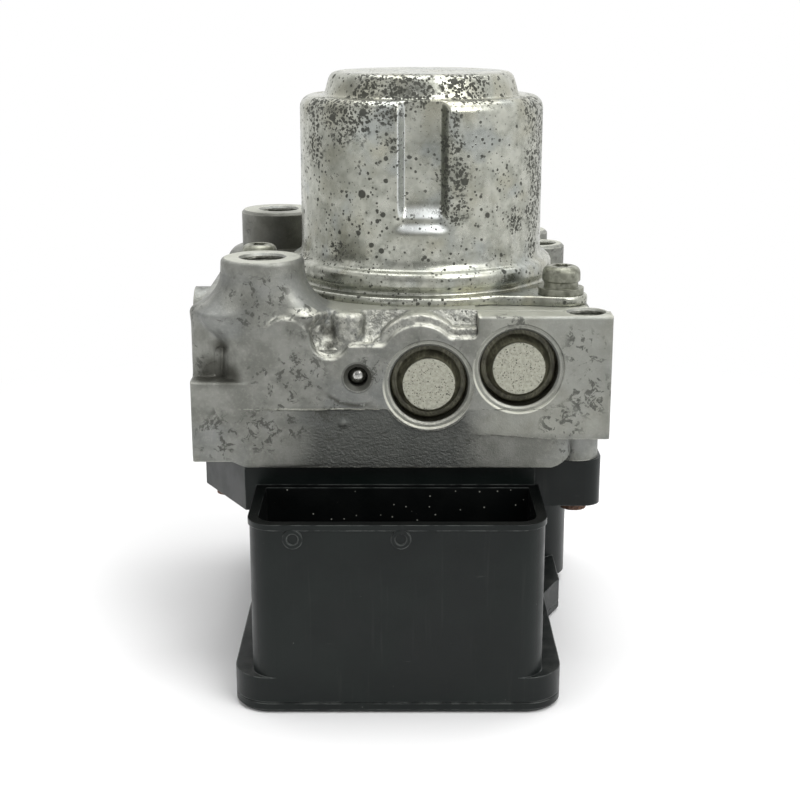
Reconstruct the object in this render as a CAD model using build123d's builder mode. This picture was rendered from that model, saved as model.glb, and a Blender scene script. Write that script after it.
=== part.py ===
from build123d import *
import os

# Hydraulic and electronic control module of an anti-lock braking system: a cast valve body
# with a pump motor on top and a moulded control unit below.
# Frame: +Z up along the motor axis, origin where that axis meets the underside of the control
# unit's cover, which the module stands on. The connector socket faces the front, -Y.
# "Reach" is a distance from the motor axis along Y. Sizes are in millimetres.

os.makedirs("parts", exist_ok=True)

# ---------------------------------------------------------------- clearances
running_gap = 0.05  # radial, a shaft, plunger or piston in its bore
seat_gap = 0.05  # radial, a pressed or screwed piece in its seat
loose_gap = 0.5  # a piece that passes through a hole without touching it
pivot_gap = 0.3  # between the eccentric's ring and a plunger at the top of its stroke

# ---------------------------------------------------------------- control unit
cover_t = 2.8
rim_h = 6.6  # base rim of the housing, above the cover
case_h = 33.3  # case wall from the rim to the collar
collar_h = 12.6  # thick collar that the valve body sits on
case_wall = 2.2
floor_t = 2.0  # shelf that carries the coils and the connector's contacts
floor_z = 19.0

rim_x0 = -47.2
rim_x1 = 34.6
rim_step_x = 40.2
rim_lug_x = 42.6
rim_y1 = 43.5
rim_step_y = -9.6
rim_lug_y = 20.0
rim_corner_r = 9.5
rim_rear_r = 6.0

case_x0 = -43.5
case_x1 = 30.0
case_step_x = 44.3
case_step_y = 7.5
case_y1 = 39.5
case_corner_r = 4.0
case_step_r = 10.0  # the step's front corner
hollow_edge = 4.0  # from the rim's step to the electronics space

socket_x0 = -42.6
socket_x1 = 29.7
socket_front = -75.0
socket_back = -46.7  # rear inner face of the socket
socket_wall = 2.2
socket_rim_z = 49.5
socket_corner_r = 6.5
socket_lip_t = 0.4  # lip round the mouth
socket_lip_h = 1.5

collar_x0 = -59.0
collar_x1 = 47.0
collar_y1 = 49.5
collar_front = -44.7
collar_wall = 3.6  # front wall of the coil space
collar_cut_x = -46.0  # the collar's front left corner is cut off from here
collar_cut_y = -22.0
collar_ear_x = 29.2
collar_ear_y = -41.5
collar_corner_r = 4.5

mark_r = 2.4  # round marks on the socket's front wall
mark_t = 0.5
mark_z = 45.8
mark_xs = (-31.7, -5.6)

cover_lip_h = 2.4
cover_lip_t = 1.6
cover_lip_gap = 0.15
seal_t = 1.4
seal_inset = 0.5
seal_depth = 1.0
seam_chamfer = 0.35
cover_edge = 0.8
chip_t = 2.0
chip_sites = (
    (-12.0, -28.0, 22.0, 22.0),
    (14.0, -27.0, 14.0, 14.0),
    (-22.0, 28.0, 18.0, 10.0),
    (8.0, 28.0, 18.0, 10.0),
)
capacitor_r = 4.5
capacitor_h = 5.6
capacitor_sites = ((-28.0, -55.0), (-12.0, -55.0), (16.0, -58.0))

board_t = 1.6
board_z = 11.6
board_gap = 1.2
board_post_r = 2.6
board_post_inset = 4.5
lead_hole_w = 1.2
coil_lead_w = 0.8
coil_lead_pitch = 6.4

pin_w = 0.8
pin_pitch = 4.4
pin_row_pitch = 5.2
pin_columns = 10
pin_rows = 3
pin_top_z = 33.0
pin_inset = 34.8  # from the socket's left side to the middle of the signal contacts
power_pin_w = 5.0
power_pin_t = 0.9
power_pin_inset = 6.7  # from the socket's right side
power_pin_pitch = 9.0

unit_screw_r = 2.5
unit_screw_head_r = 3.4
unit_screw_head_h = 1.8
unit_screw_grip = 10.0
unit_screw_recess_r = 1.7
unit_screw_recess_h = 1.0
unit_screw_sites = ((40.2, -36.5), (-52.5, -24.0), (-52.5, 43.5), (40.0, 43.5))

# ---------------------------------------------------------------- valve body
body_h = 39.5
body_x0 = -58.8
body_x1 = 47.6
core_x1 = 43.6  # right wall behind the corner port
body_edge_r = 1.6  # rounded upper edge of the casting
body_reach = 48.5  # machined front and rear faces
core_reach = 41.5  # rough cast walls behind the front pad
body_corner_r = 3.0
pad_foot_z = 64.2  # lower edge of the right part of the front pad
pad_step_z = 71.0  # lower edge of the middle of the front pad
pad_foot_x = 9.0
pad_left_x = -44.5  # the left block runs on down to the control unit
pad_right_z = 63.0
block_foot_z = 57.0
skirt_reach = 47.9  # recessed lower face
skirt_x1 = 33.0
ledge_z = 77.8
ledge_x = -43.5
pad_full_x = 13.7  # right of here the pad runs up to the top face
pad_shelf_z = 89.4
pad_saddle_z = 87.4
pad_edge = 0.8  # rounding of the pad's upper edge
pad_blend = 1.5  # radius where the arches meet the saddles
pump_arch_x = -0.8
pump_arch_z = 83.0
pump_arch_r = 9.8
port_arch_x = -34.3
port_arch_z = 87.4
port_arch_r = 6.2
pad_valley_x = -23.4
pad_valley_z = 88.6
pad_valley_r = 4.6
slope_reach = 46.6  # foot of the slope between the top face and the pad
slope_z = 86.0
rib_x = -18.8
rib_r = 3.9
rib_reach = 42.0
rib_z = 92.6
lobe_x = -53.9
lobe_y = -38.4
lobe_r = 4.6
lobe_rise = 1.3  # above the top face
groove_x = -50.8
groove_r = 2.3
groove_z = 84.0
front_foot_r = 4.0
corner_boss_r = 6.0
corner_round_r = 5.8  # round the corner port
corner_edge = 0.4
boss_edge = 0.8
boss_draft = 1.7  # what the front inlet's boss gains in radius towards its foot
boss_round = 1.2
cast_draft = 0.2
inlet_foot_r = 4.5

inlet_drill_r = 5.5
inlet_mouth_r = 6.15
inlet_depth = 17.0
inlet_boss_r = 10.6
inlet_boss_top = 107.9
inlet_x = -40.9
inlet_y = -36.0
rear_inlet_boss_r = 11.2
rear_inlet_boss_top = 110.2
rear_inlet_x = -42.4
rear_inlet_y = 38.0

outlet_drill_r = 4.5
outlet_mouth_r = 5.1
outlet_depth = 11.0
corner_outlet_x = 41.4
corner_outlet_y = -41.8
outlet_boss_r = 7.4
outlet_boss_sites = ((35.7, 29.5, 101.2), (31.8, 41.4, 103.5), (11.0, 44.6, 103.5))
outlet_boss_foot_z = 92.0

bracket_boss_r = 7.0
bracket_boss_root = 5.0  # how far the boss runs into the body
bracket_boss_face = -63.5
bracket_boss_y = 2.0
bracket_boss_z = 86.0
bracket_drill_r = 3.4
bracket_depth = 12.0
right_bracket_y = 8.0
right_bracket_z = 76.0

ball_r = 2.55
ball_sink = 1.6
ball_mouth_r = 3.7
ball_sites = ((-16.5, 79.1, -1), (-16.5, 79.1, 1), (-33.0, 66.0, 1))
ball_hole_depth = 9.0

# ---------------------------------------------------------------- pump and accumulators
pump_x = 1.5  # the cylinders stand a little to one side of the motor axis
pump_z = 77.3
store_x = 24.2
store_z = 81.4
plug_r = 9.75
plug_button_r = 6.65
plug_flange_t = 4.0
plug_sink = 0.5
plug_land = 4.0
plug_neck_r = 8.2
plug_neck_h = 2.2  # sloping shoulder round the button's foot
plug_seat_r = plug_r + seat_gap
plug_edge = 0.4
face_ring_r = 12.2  # cast boss round a plugged bore, flush with the pad
face_sink_r = 11.4
face_sink = 0.5  # shallow step round the bore's mouth
face_mouth_r = 10.5

chamber_r = 10.0
chamber_floor_z = 69.6
eccentric_throw = 1.2
eccentric_r = 4.5
eccentric_lip = 1.0
ring_r = 7.5
ring_w = 10.0

plunger_r = 3.0
plunger_collar_r = 4.4
plunger_collar_t = 1.4
plunger_len = 20.8
plunger_stroke = 2.4
sleeve_r = 6.0
sleeve_reach0 = 11.5
sleeve_len = 16.5
pump_spring_r = 3.3
pump_wire = 0.8
pump_spring_turns = 4

piston_r = 7.95
piston_len = 10.0
piston_wall = 1.6
piston_reach0 = 18.0
store_floor_reach = 16.0
store_spring_r = 5.0
store_wire = 1.2
store_spring_turns = 5

# ---------------------------------------------------------------- solenoid valves
valve_pitch = 17.0
valve_columns = 4
valve_x0 = -32.5
valve_row_y = 14.0
valve_seat_depth = 10.7
inlet_valve_r = 3.6
outlet_valve_r = 3.3
valve_collar_r = 4.6
valve_collar_t = 1.5
dome_r = 3.3
dome_wall = 0.45
dome_end_z = 23.0
armature_len = 20.0
armature_lift = 0.3
armature_rest_gap = 0.4
yoke_r = 8.2
yoke_wall = 1.0
yoke_len = 29.0
yoke_end_t = 1.5
coil_gap = 0.2

# ---------------------------------------------------------------- motor
can_r = 33.0
can_wall = 1.8
can_h = 51.7  # from the valve body to the shoulder
shoulder_r = 3.4
dome_foot_r = 26.2
dome_top_r = 24.3
dome_h = 6.2
dome_edge_r = 1.4
motor_flange_r = 38.0
motor_flange_t = 2.5
bead_r = 36.1
bead_z = 3.7  # above the valve body
bead_h = 4.8
neck_r = 35.1
dent_floor_w = 9.0
dent_mouth_w = 19.0
dent_reach = 30.5
dent_low_z = 19.2  # above the valve body, where the dent runs out
dent_shelf_h = 6.6

ear_r = 7.1
ear_root_w = 34.0
ear_root_share = 0.85
motor_screw_sites = ((36.2, -29.5), (-45.6, 6.0), (-17.4, 43.2))
motor_screw_r = 3.0
motor_screw_grip = 10.5
motor_screw_head_r = 4.95
motor_screw_head_h = 5.6
motor_screw_collar_h = 1.6
screw_dome = 1.9
screw_waist = 0.5
screw_underside_r = 0.4
motor_washer_r = 5.9
motor_washer_t = 1.6
socket_r = 2.6
socket_h = 2.6

magnet_t = 4.0
magnet_half_span = 62.0
magnet_z0 = 108.0
magnet_len = 34.0
air_gap = 0.7
core_z0 = 112.0
core_len = 24.0
slot_count = 12
slot_w = 4.0
tooth_tip_t = 2.0
slot_root_r = 13.0
winding_gap = 0.45  # between the winding and the backs of the tooth tips
winding_overhang = 5.0
shaft_r = 4.0
shaft_top_z = 149.0
commutator_r = 8.5
commutator_z0 = 99.6
commutator_len = 6.2
commutator_slot_w = 0.6

bearing_r = 11.0
bearing_w = 7.0
race_t = 2.0
seal_sink = 0.3
upper_bearing_r = 8.0
upper_bearing_w = 5.5
retainer_wall = 1.4
retainer_flange_r = 19.0

brush_plate_t = 4.0
brush_plate_gap = 0.3
brush_w = 5.0
brush_h = 4.4
brush_len = 9.0
brush_z = 102.6
brush_gap = 0.1
brush_rub = 0.12
brush_spring_r = 1.6
brush_wire = 0.5
brush_spring_turns = 3
brush_spring_len = 4.5
holder_wall = 1.2
gasket_t = 1.0
gasket_w = 1.8
gasket_r = 34.2

lead_x = -24.0
lead_pitch = 3.2
lead_w = 1.2
lead_tube_r = 3.4

# ---------------------------------------------------------------- derived levels
rim_z = cover_t + rim_h
collar_z = rim_z + case_h
body_z = collar_z + collar_h
top_z = body_z + body_h
shelf_z = floor_z + floor_t
hollow_x1 = rim_step_x - hollow_edge
shoulder_z = top_z + can_h
dome_top_z = shoulder_z + dome_h
plug_reach0 = body_reach - plug_sink - plug_land - plug_flange_t
plunger_reach0 = ring_r + eccentric_throw + pivot_gap + plunger_stroke / 2
plunger_reach1 = plunger_reach0 + plunger_len
dome_top = body_z - valve_collar_t
armature_z0 = dome_end_z + dome_wall + armature_rest_gap
bead_top = top_z + bead_z + bead_h
dent_z0 = top_z + dent_low_z
magnet_r = can_r - can_wall - seat_gap
upper_bearing_z0 = dome_top_z - can_wall - retainer_wall - upper_bearing_w
retainer_z = dome_top_z - can_wall
armature_r = magnet_r - magnet_t - air_gap
winding_r = armature_r - tooth_tip_t - winding_gap
brush_x0 = commutator_r + brush_rub
brush_x1 = brush_x0 + brush_len
spring_x1 = brush_x1 + brush_spring_len
holder_x0 = commutator_r + 1.5
eccentric_z0 = pump_z - ring_w / 2 - eccentric_lip
eccentric_z1 = pump_z + ring_w / 2 + eccentric_lip
port_sites = [
    (inlet_x, inlet_y, inlet_boss_top, inlet_drill_r, inlet_mouth_r, inlet_depth),
    (rear_inlet_x, rear_inlet_y, rear_inlet_boss_top, inlet_drill_r, inlet_mouth_r, inlet_depth),
    (corner_outlet_x, corner_outlet_y, top_z, outlet_drill_r, outlet_mouth_r, outlet_depth),
]
for x, y, boss_top in outlet_boss_sites:
    port_sites.append((x, y, boss_top, outlet_drill_r, outlet_mouth_r, outlet_depth))


# ---------------------------------------------------------------- helpers
def turned(x, y, z0, z1, radius, mode=Mode.ADD):
    """Upright round bar in the part being built."""
    with Locations((x, y, z0)):
        Cylinder(radius, z1 - z0, align=(Align.CENTER, Align.CENTER, Align.MIN), mode=mode)


def turned_y(x, z, y0, y1, radius, mode=Mode.ADD):
    """Round bar along Y, from y0 to y1."""
    with Locations(Location((x, min(y0, y1), z), (-90, 0, 0))):
        Cylinder(radius, abs(y1 - y0), align=(Align.CENTER, Align.CENTER, Align.MIN), mode=mode)


def turned_x(y, z, x0, x1, radius, mode=Mode.ADD):
    """Round bar along X, from x0 to x1."""
    with Locations(Location((min(x0, x1), y, z), (0, 90, 0))):
        Cylinder(radius, abs(x1 - x0), align=(Align.CENTER, Align.CENTER, Align.MIN), mode=mode)


def mouth(x, y, z, drill_r, mouth_r):
    """Countersink at the mouth of an upright hole."""
    depth = mouth_r - drill_r
    with Locations((x, y, z - depth)):
        Cone(
            drill_r,
            mouth_r,
            depth,
            align=(Align.CENTER, Align.CENTER, Align.MIN),
            mode=Mode.SUBTRACT,
        )


def port_boss(x, y, z0, z1, radius):
    """Upright cast boss with a bevelled top edge."""
    turned(x, y, z0, z1 - boss_edge, radius)
    with Locations((x, y, z1 - boss_edge)):
        Cone(
            radius,
            radius - boss_edge,
            boss_edge,
            align=(Align.CENTER, Align.CENTER, Align.MIN),
        )


def ear_web(x, y):
    """Corners of the tapered web between the motor's flange and an ear."""
    ear = Vector(x, y)
    out = ear.normalized()
    across = out.rotate(Axis.Z, 90)
    root = out * motor_flange_r * ear_root_share
    return [
        root + across * ear_root_w / 2,
        ear + across * ear_r,
        ear - across * ear_r,
        root - across * ear_root_w / 2,
    ]


def block(x0, x1, y0, y1, z0, z1, mode=Mode.ADD):
    """Rectangular block between opposite corners."""
    with Locations((x0, y0, z0)):
        Box(x1 - x0, y1 - y0, z1 - z0, align=(Align.MIN, Align.MIN, Align.MIN), mode=mode)


def save(part, name):
    """Label a finished piece and write it under its own name."""
    part.label = name
    export_step(part, f"parts/{name}.step")


def coil_spring(x, z, y0, y1, radius, wire, turns):
    """Square-wire compression spring along Y between two seats."""
    length = abs(y1 - y0)
    rise = length - wire
    with BuildPart() as spring:
        with BuildLine() as path:
            Helix(pitch=rise / turns, height=rise, radius=radius)
        with BuildSketch(Plane(origin=path.line @ 0, z_dir=path.line % 0)):
            Rectangle(wire, wire)
        sweep(path=path.line, is_frenet=True)
    low = min(y0, y1) + wire / 2
    return Location((x, low, z), (-90, 0, 0)) * spring.part


# ---------------------------------------------------------------- outlines
with BuildSketch() as rim_plan:
    with BuildLine():
        Polyline(
            (rim_x0, socket_front),
            (rim_x1, socket_front),
            (rim_x1, rim_step_y - 2 * (rim_step_x - rim_x1)),
            (rim_step_x, rim_step_y),
            (rim_step_x, rim_lug_y - (rim_lug_x - rim_step_x)),
            (rim_lug_x, rim_lug_y),
            (rim_lug_x, rim_y1),
            (rim_x0, rim_y1),
            close=True,
        )
    make_face()
    fillet(rim_plan.vertices().group_by(Axis.Y)[0], rim_corner_r)
    fillet(rim_plan.vertices().group_by(Axis.Y)[-1], rim_rear_r)

with BuildSketch() as case_plan:
    with BuildLine():
        Polyline(
            (case_x0, socket_back),
            (case_x1, socket_back),
            (case_x1, case_step_y),
            (case_step_x, case_step_y),
            (case_step_x, case_y1),
            (case_x0, case_y1),
            close=True,
        )
    make_face()
    step_corners = case_plan.vertices().group_by(Axis.X)[-1].sort_by(Axis.Y)
    fillet(step_corners[0], case_step_r)
    fillet(step_corners[1], case_corner_r)

with BuildSketch() as case_hollow:
    with BuildLine():
        Polyline(
            (case_x0 + case_wall, collar_front + collar_wall),
            (case_x1 - case_wall, collar_front + collar_wall),
            (case_x1 - case_wall, case_step_y + case_wall),
            (hollow_x1, case_step_y + case_wall),
            (hollow_x1, case_y1 - case_wall),
            (case_x0 + case_wall, case_y1 - case_wall),
            close=True,
        )
    make_face()
    fillet(case_hollow.vertices().group_by(Axis.X)[-1], case_corner_r - case_wall)

with BuildSketch() as socket_plan:
    with BuildLine():
        Polyline(
            (socket_x0, socket_front),
            (socket_x1, socket_front),
            (socket_x1, socket_back + case_wall),
            (socket_x0, socket_back + case_wall),
            close=True,
        )
    make_face()
    fillet(socket_plan.vertices().group_by(Axis.Y)[0], socket_corner_r)

with BuildSketch() as socket_hollow:
    with BuildLine():
        Polyline(
            (socket_x0 + socket_wall, socket_front + socket_wall),
            (socket_x1 - socket_wall, socket_front + socket_wall),
            (socket_x1 - socket_wall, socket_back),
            (socket_x0 + socket_wall, socket_back),
            close=True,
        )
    make_face()
    fillet(socket_hollow.vertices().group_by(Axis.Y)[0], socket_corner_r - socket_wall)

with BuildSketch() as collar_plan:
    with BuildLine():
        Polyline(
            (collar_x0, collar_cut_y),
            (collar_cut_x, collar_front),
            (collar_ear_x, collar_front),
            (collar_ear_x, collar_ear_y),
            (collar_x1, collar_ear_y),
            (collar_x1, collar_y1),
            (collar_x0, collar_y1),
            close=True,
        )
    make_face()
    fillet(collar_plan.vertices().group_by(Axis.X)[-1], collar_corner_r)

# Electronics space: under the coils and under the socket, in one.
with BuildSketch() as unit_hollow:
    add(case_hollow.sketch)
    add(socket_hollow.sketch)
    with BuildLine():
        Polyline(
            (socket_x0 + socket_wall, socket_back - 1),
            (socket_x1 - socket_wall, socket_back - 1),
            (socket_x1 - socket_wall, collar_front + collar_wall + 1),
            (socket_x0 + socket_wall, collar_front + collar_wall + 1),
            close=True,
        )
    make_face()

with BuildSketch() as board_plan:
    add(unit_hollow.sketch)
    offset(amount=-board_gap, kind=Kind.INTERSECTION, mode=Mode.REPLACE)

with BuildSketch() as cover_seal_plan:
    add(unit_hollow.sketch)
    offset(amount=seal_inset + seal_t, kind=Kind.INTERSECTION, mode=Mode.REPLACE)
    with BuildSketch(mode=Mode.PRIVATE) as cover_seal_inner:
        add(unit_hollow.sketch)
        offset(amount=seal_inset, kind=Kind.INTERSECTION, mode=Mode.REPLACE)
    add(cover_seal_inner.sketch, mode=Mode.SUBTRACT)

with BuildSketch() as body_seal_plan:
    add(case_hollow.sketch)
    offset(amount=seal_inset + seal_t, kind=Kind.INTERSECTION, mode=Mode.REPLACE)
    with BuildSketch(mode=Mode.PRIVATE) as body_seal_inner:
        add(case_hollow.sketch)
        offset(amount=seal_inset, kind=Kind.INTERSECTION, mode=Mode.REPLACE)
    add(body_seal_inner.sketch, mode=Mode.SUBTRACT)

with BuildSketch() as lip_plan:
    add(unit_hollow.sketch)
    offset(amount=-cover_lip_gap, kind=Kind.INTERSECTION, mode=Mode.REPLACE)
    with BuildSketch(mode=Mode.PRIVATE) as lip_inner:
        add(unit_hollow.sketch)
        offset(amount=-cover_lip_gap - cover_lip_t, kind=Kind.INTERSECTION, mode=Mode.REPLACE)
    add(lip_inner.sketch, mode=Mode.SUBTRACT)

# Contacts of the socket: signal blades in rows, and a pair of wide supply blades.
socket_mid_y = (socket_front + socket_wall + socket_back) / 2
with BuildSketch(Plane.XY.offset(board_z + board_t)) as contact_plan:
    with Locations((socket_x0 + pin_inset, socket_mid_y)):
        with GridLocations(pin_pitch, pin_row_pitch, pin_columns, pin_rows):
            Rectangle(pin_w, pin_w)
    with Locations((socket_x1 - power_pin_inset, socket_mid_y)):
        with GridLocations(0, power_pin_pitch, 1, 2):
            Rectangle(power_pin_t, power_pin_w)

board_post_sites = (
    (case_x0 + case_wall + board_post_inset, case_y1 - case_wall - board_post_inset),
    (hollow_x1 - board_post_inset, case_y1 - case_wall - board_post_inset),
    (case_x0 + case_wall + board_post_inset, collar_front + collar_wall + board_post_inset),
    (case_x1 - case_wall - board_post_inset, collar_front + collar_wall + board_post_inset),
)
valve_sites = [
    (valve_x0 + column * valve_pitch, row * valve_row_y)
    for row in (-1, 1)
    for column in range(valve_columns)
]

# ---------------------------------------------------------------- control unit housing
with BuildPart() as ecu_housing:
    extrude(rim_plan.sketch.moved(Location((0, 0, cover_t))), amount=rim_h)
    extrude(case_plan.sketch.moved(Location((0, 0, cover_t))), amount=collar_z - cover_t)
    extrude(socket_plan.sketch.moved(Location((0, 0, cover_t))), amount=socket_rim_z - cover_t)
    with BuildSketch(Plane.XY.offset(socket_rim_z - socket_lip_h)) as lip_band:
        add(socket_plan.sketch.moved(Location((0, 0, socket_rim_z - socket_lip_h))))
        offset(amount=socket_lip_t, kind=Kind.ARC, mode=Mode.REPLACE)
    extrude(lip_band.sketch, amount=socket_lip_h)
    extrude(collar_plan.sketch.moved(Location((0, 0, collar_z))), amount=collar_h)
    for mark_x in mark_xs:
        turned_y(mark_x, mark_z, socket_front - mark_t, socket_front + socket_wall, mark_r)
        turned_y(
            mark_x,
            mark_z,
            socket_front - mark_t,
            socket_front,
            mark_r - 2 * mark_t,
            Mode.SUBTRACT,
        )
    # Electronics space below the shelf, coil space above it, and the socket.
    extrude(
        unit_hollow.sketch.moved(Location((0, 0, cover_t))),
        amount=floor_z - cover_t,
        mode=Mode.SUBTRACT,
    )
    extrude(
        case_hollow.sketch.moved(Location((0, 0, shelf_z))),
        amount=body_z - shelf_z,
        mode=Mode.SUBTRACT,
    )
    extrude(
        socket_hollow.sketch.moved(Location((0, 0, shelf_z))),
        amount=body_z - shelf_z,
        mode=Mode.SUBTRACT,
    )
    extrude(contact_plan.sketch, amount=pin_top_z - board_z - board_t, mode=Mode.SUBTRACT)
    extrude(
        cover_seal_plan.sketch.moved(Location((0, 0, cover_t))),
        amount=seal_depth,
        mode=Mode.SUBTRACT,
    )
    extrude(
        body_seal_plan.sketch.moved(Location((0, 0, body_z - seal_depth))),
        amount=seal_depth,
        mode=Mode.SUBTRACT,
    )
    turned(lead_x, 0, floor_z, shelf_z, lead_tube_r - 1, Mode.SUBTRACT)
    for x, y in valve_sites:
        with Locations((x, y, floor_z)):
            with GridLocations(coil_lead_pitch, 0, 2, 1):
                Box(
                    lead_hole_w,
                    lead_hole_w,
                    floor_t,
                    align=(Align.CENTER, Align.CENTER, Align.MIN),
                    mode=Mode.SUBTRACT,
                )
    for x, y in unit_screw_sites:
        turned(x, y, collar_z, body_z, unit_screw_r + seat_gap, Mode.SUBTRACT)
    for x, y in board_post_sites:
        turned(x, y, board_z + board_t, floor_z, board_post_r)

save(ecu_housing.part, "ecu_housing")

# ---------------------------------------------------------------- rest of the control unit
with BuildPart() as ecu_cover:
    extrude(rim_plan.sketch, amount=cover_t)
    chamfer(ecu_cover.faces().sort_by(Axis.Z)[-1].edges(), seam_chamfer)
    chamfer(ecu_cover.faces().sort_by(Axis.Z)[0].edges(), cover_edge)
    extrude(lip_plan.sketch.moved(Location((0, 0, cover_t))), amount=cover_lip_h)

save(ecu_cover.part, "ecu_cover")

with BuildPart() as cover_seal:
    extrude(cover_seal_plan.sketch.moved(Location((0, 0, cover_t))), amount=seal_depth)

save(cover_seal.part, "cover_seal")

with BuildPart() as body_seal:
    extrude(
        body_seal_plan.sketch.moved(Location((0, 0, body_z - seal_depth))),
        amount=seal_depth,
    )

save(body_seal.part, "body_seal")

with BuildPart() as circuit_board:
    extrude(board_plan.sketch.moved(Location((0, 0, board_z))), amount=board_t)

save(circuit_board.part, "circuit_board")

with BuildPart() as board_parts:
    for x, y, width, depth in chip_sites:
        block(
            x - width / 2,
            x + width / 2,
            y - depth / 2,
            y + depth / 2,
            board_z + board_t,
            board_z + board_t + chip_t,
        )
    for x, y in capacitor_sites:
        turned(x, y, board_z - capacitor_h, board_z, capacitor_r)

save(board_parts.part, "board_parts")

with BuildPart() as socket_contacts:
    extrude(contact_plan.sketch, amount=pin_top_z - board_z - board_t)

save(socket_contacts.part, "socket_contacts")

with BuildPart() as unit_screws:
    for x, y in unit_screw_sites:
        turned(x, y, collar_z, body_z + unit_screw_grip, unit_screw_r)
        turned(x, y, collar_z - unit_screw_head_h, collar_z, unit_screw_head_r)
        with BuildSketch(Plane.XY.offset(collar_z - unit_screw_head_h)) as recess:
            with Locations((x, y)):
                RegularPolygon(unit_screw_recess_r, 6)
        extrude(recess.sketch, amount=unit_screw_recess_h, mode=Mode.SUBTRACT)

save(unit_screws.part, "unit_screws")

# ---------------------------------------------------------------- valve body
# Front pad: a machined plate on the cast wall, with arches over the bores behind it. Its upper
# outline and its lower edge are drawn apart, as only the upper one is rounded.
with BuildPart() as front_pad:
    with BuildSketch(Plane.XZ.offset(core_reach)) as pad_top:
        with BuildLine():
            Polyline(
                (body_x0, body_z - 1),
                (body_x1, body_z - 1),
                (body_x1, top_z),
                (pad_full_x, top_z),
                (pad_full_x, pad_shelf_z),
                (pump_arch_x, pad_shelf_z),
                (pump_arch_x, pad_saddle_z),
                (port_arch_x, pad_saddle_z),
                (port_arch_x - port_arch_r, port_arch_z),
                (ledge_x, ledge_z),
                (body_x0, ledge_z),
                close=True,
            )
        make_face()
        with Locations((pump_arch_x, pump_arch_z)):
            Circle(pump_arch_r)
        with Locations((port_arch_x, port_arch_z)):
            Circle(port_arch_r)
        with Locations((pad_valley_x, pad_valley_z)):
            Circle(pad_valley_r, mode=Mode.SUBTRACT)
        offset(amount=pad_blend, kind=Kind.ARC, mode=Mode.REPLACE)
        offset(amount=-pad_blend, kind=Kind.ARC, mode=Mode.REPLACE)
    extrude(pad_top.sketch, amount=body_reach - core_reach)
    pad_edges = front_pad.faces().sort_by(Axis.Y)[0].edges().filter_by(lambda e: e.center().Z > body_z)
    fillet(pad_edges, pad_edge)
    with BuildSketch(Plane.XZ.offset(core_reach)) as pad_area:
        with BuildLine():
            Polyline(
                (body_x0, block_foot_z),
                (pad_left_x, block_foot_z),
                (pad_left_x, pad_step_z),
                (pad_foot_x, pad_step_z),
                (pad_foot_x + pad_step_z - pad_foot_z, pad_foot_z),
                (skirt_x1, pad_right_z),
                (body_x1, pad_right_z),
                (body_x1, top_z),
                (body_x0, top_z),
                close=True,
            )
        make_face()
    extrude(pad_area.sketch, amount=body_reach - core_reach, mode=Mode.INTERSECT)


def cast_boss(x, y, z0, z1, radius, draft, edge):
    """Upright cast boss, wider by its draft at the foot and rounded at the top edge."""
    with BuildPart() as boss:
        with Locations((x, y, z0)):
            Cone(radius + draft, radius, z1 - z0, align=(Align.CENTER, Align.CENTER, Align.MIN))
        fillet(boss.edges().filter_by(GeomType.CIRCLE).sort_by(Axis.Z)[-1], edge)
    return boss.part


def boss_foot(x, y, radius, size):
    """Concave foot of an upright boss on the core's top."""
    with BuildPart() as foot:
        with BuildSketch(Plane.XZ):
            with BuildLine():
                Line((0, -2), (radius + size, -2))
                Line((radius + size, -2), (radius + size, 0))
                RadiusArc((radius + size, 0), (radius, size), -size)
                Line((radius, size), (0, size))
                Line((0, size), (0, -2))
            make_face()
        revolve(axis=Axis.Z)
    return foot.part.moved(Location((x, y, top_z)))


# Where the feet of the two inlet bosses may stand.
with BuildPart() as front_foot_room:
    block(body_x0, core_x1, inlet_y, 0, top_z - 2, inlet_boss_top)
    block(body_x0, inlet_x, -core_reach, inlet_y, top_z - 2, inlet_boss_top)
    turned(lobe_x, lobe_y, top_z - 2, inlet_boss_top, lobe_r)

with BuildPart() as rear_foot_room:
    block(body_x0, core_x1, 0, body_reach, top_z - 2, rear_inlet_boss_top)

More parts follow.
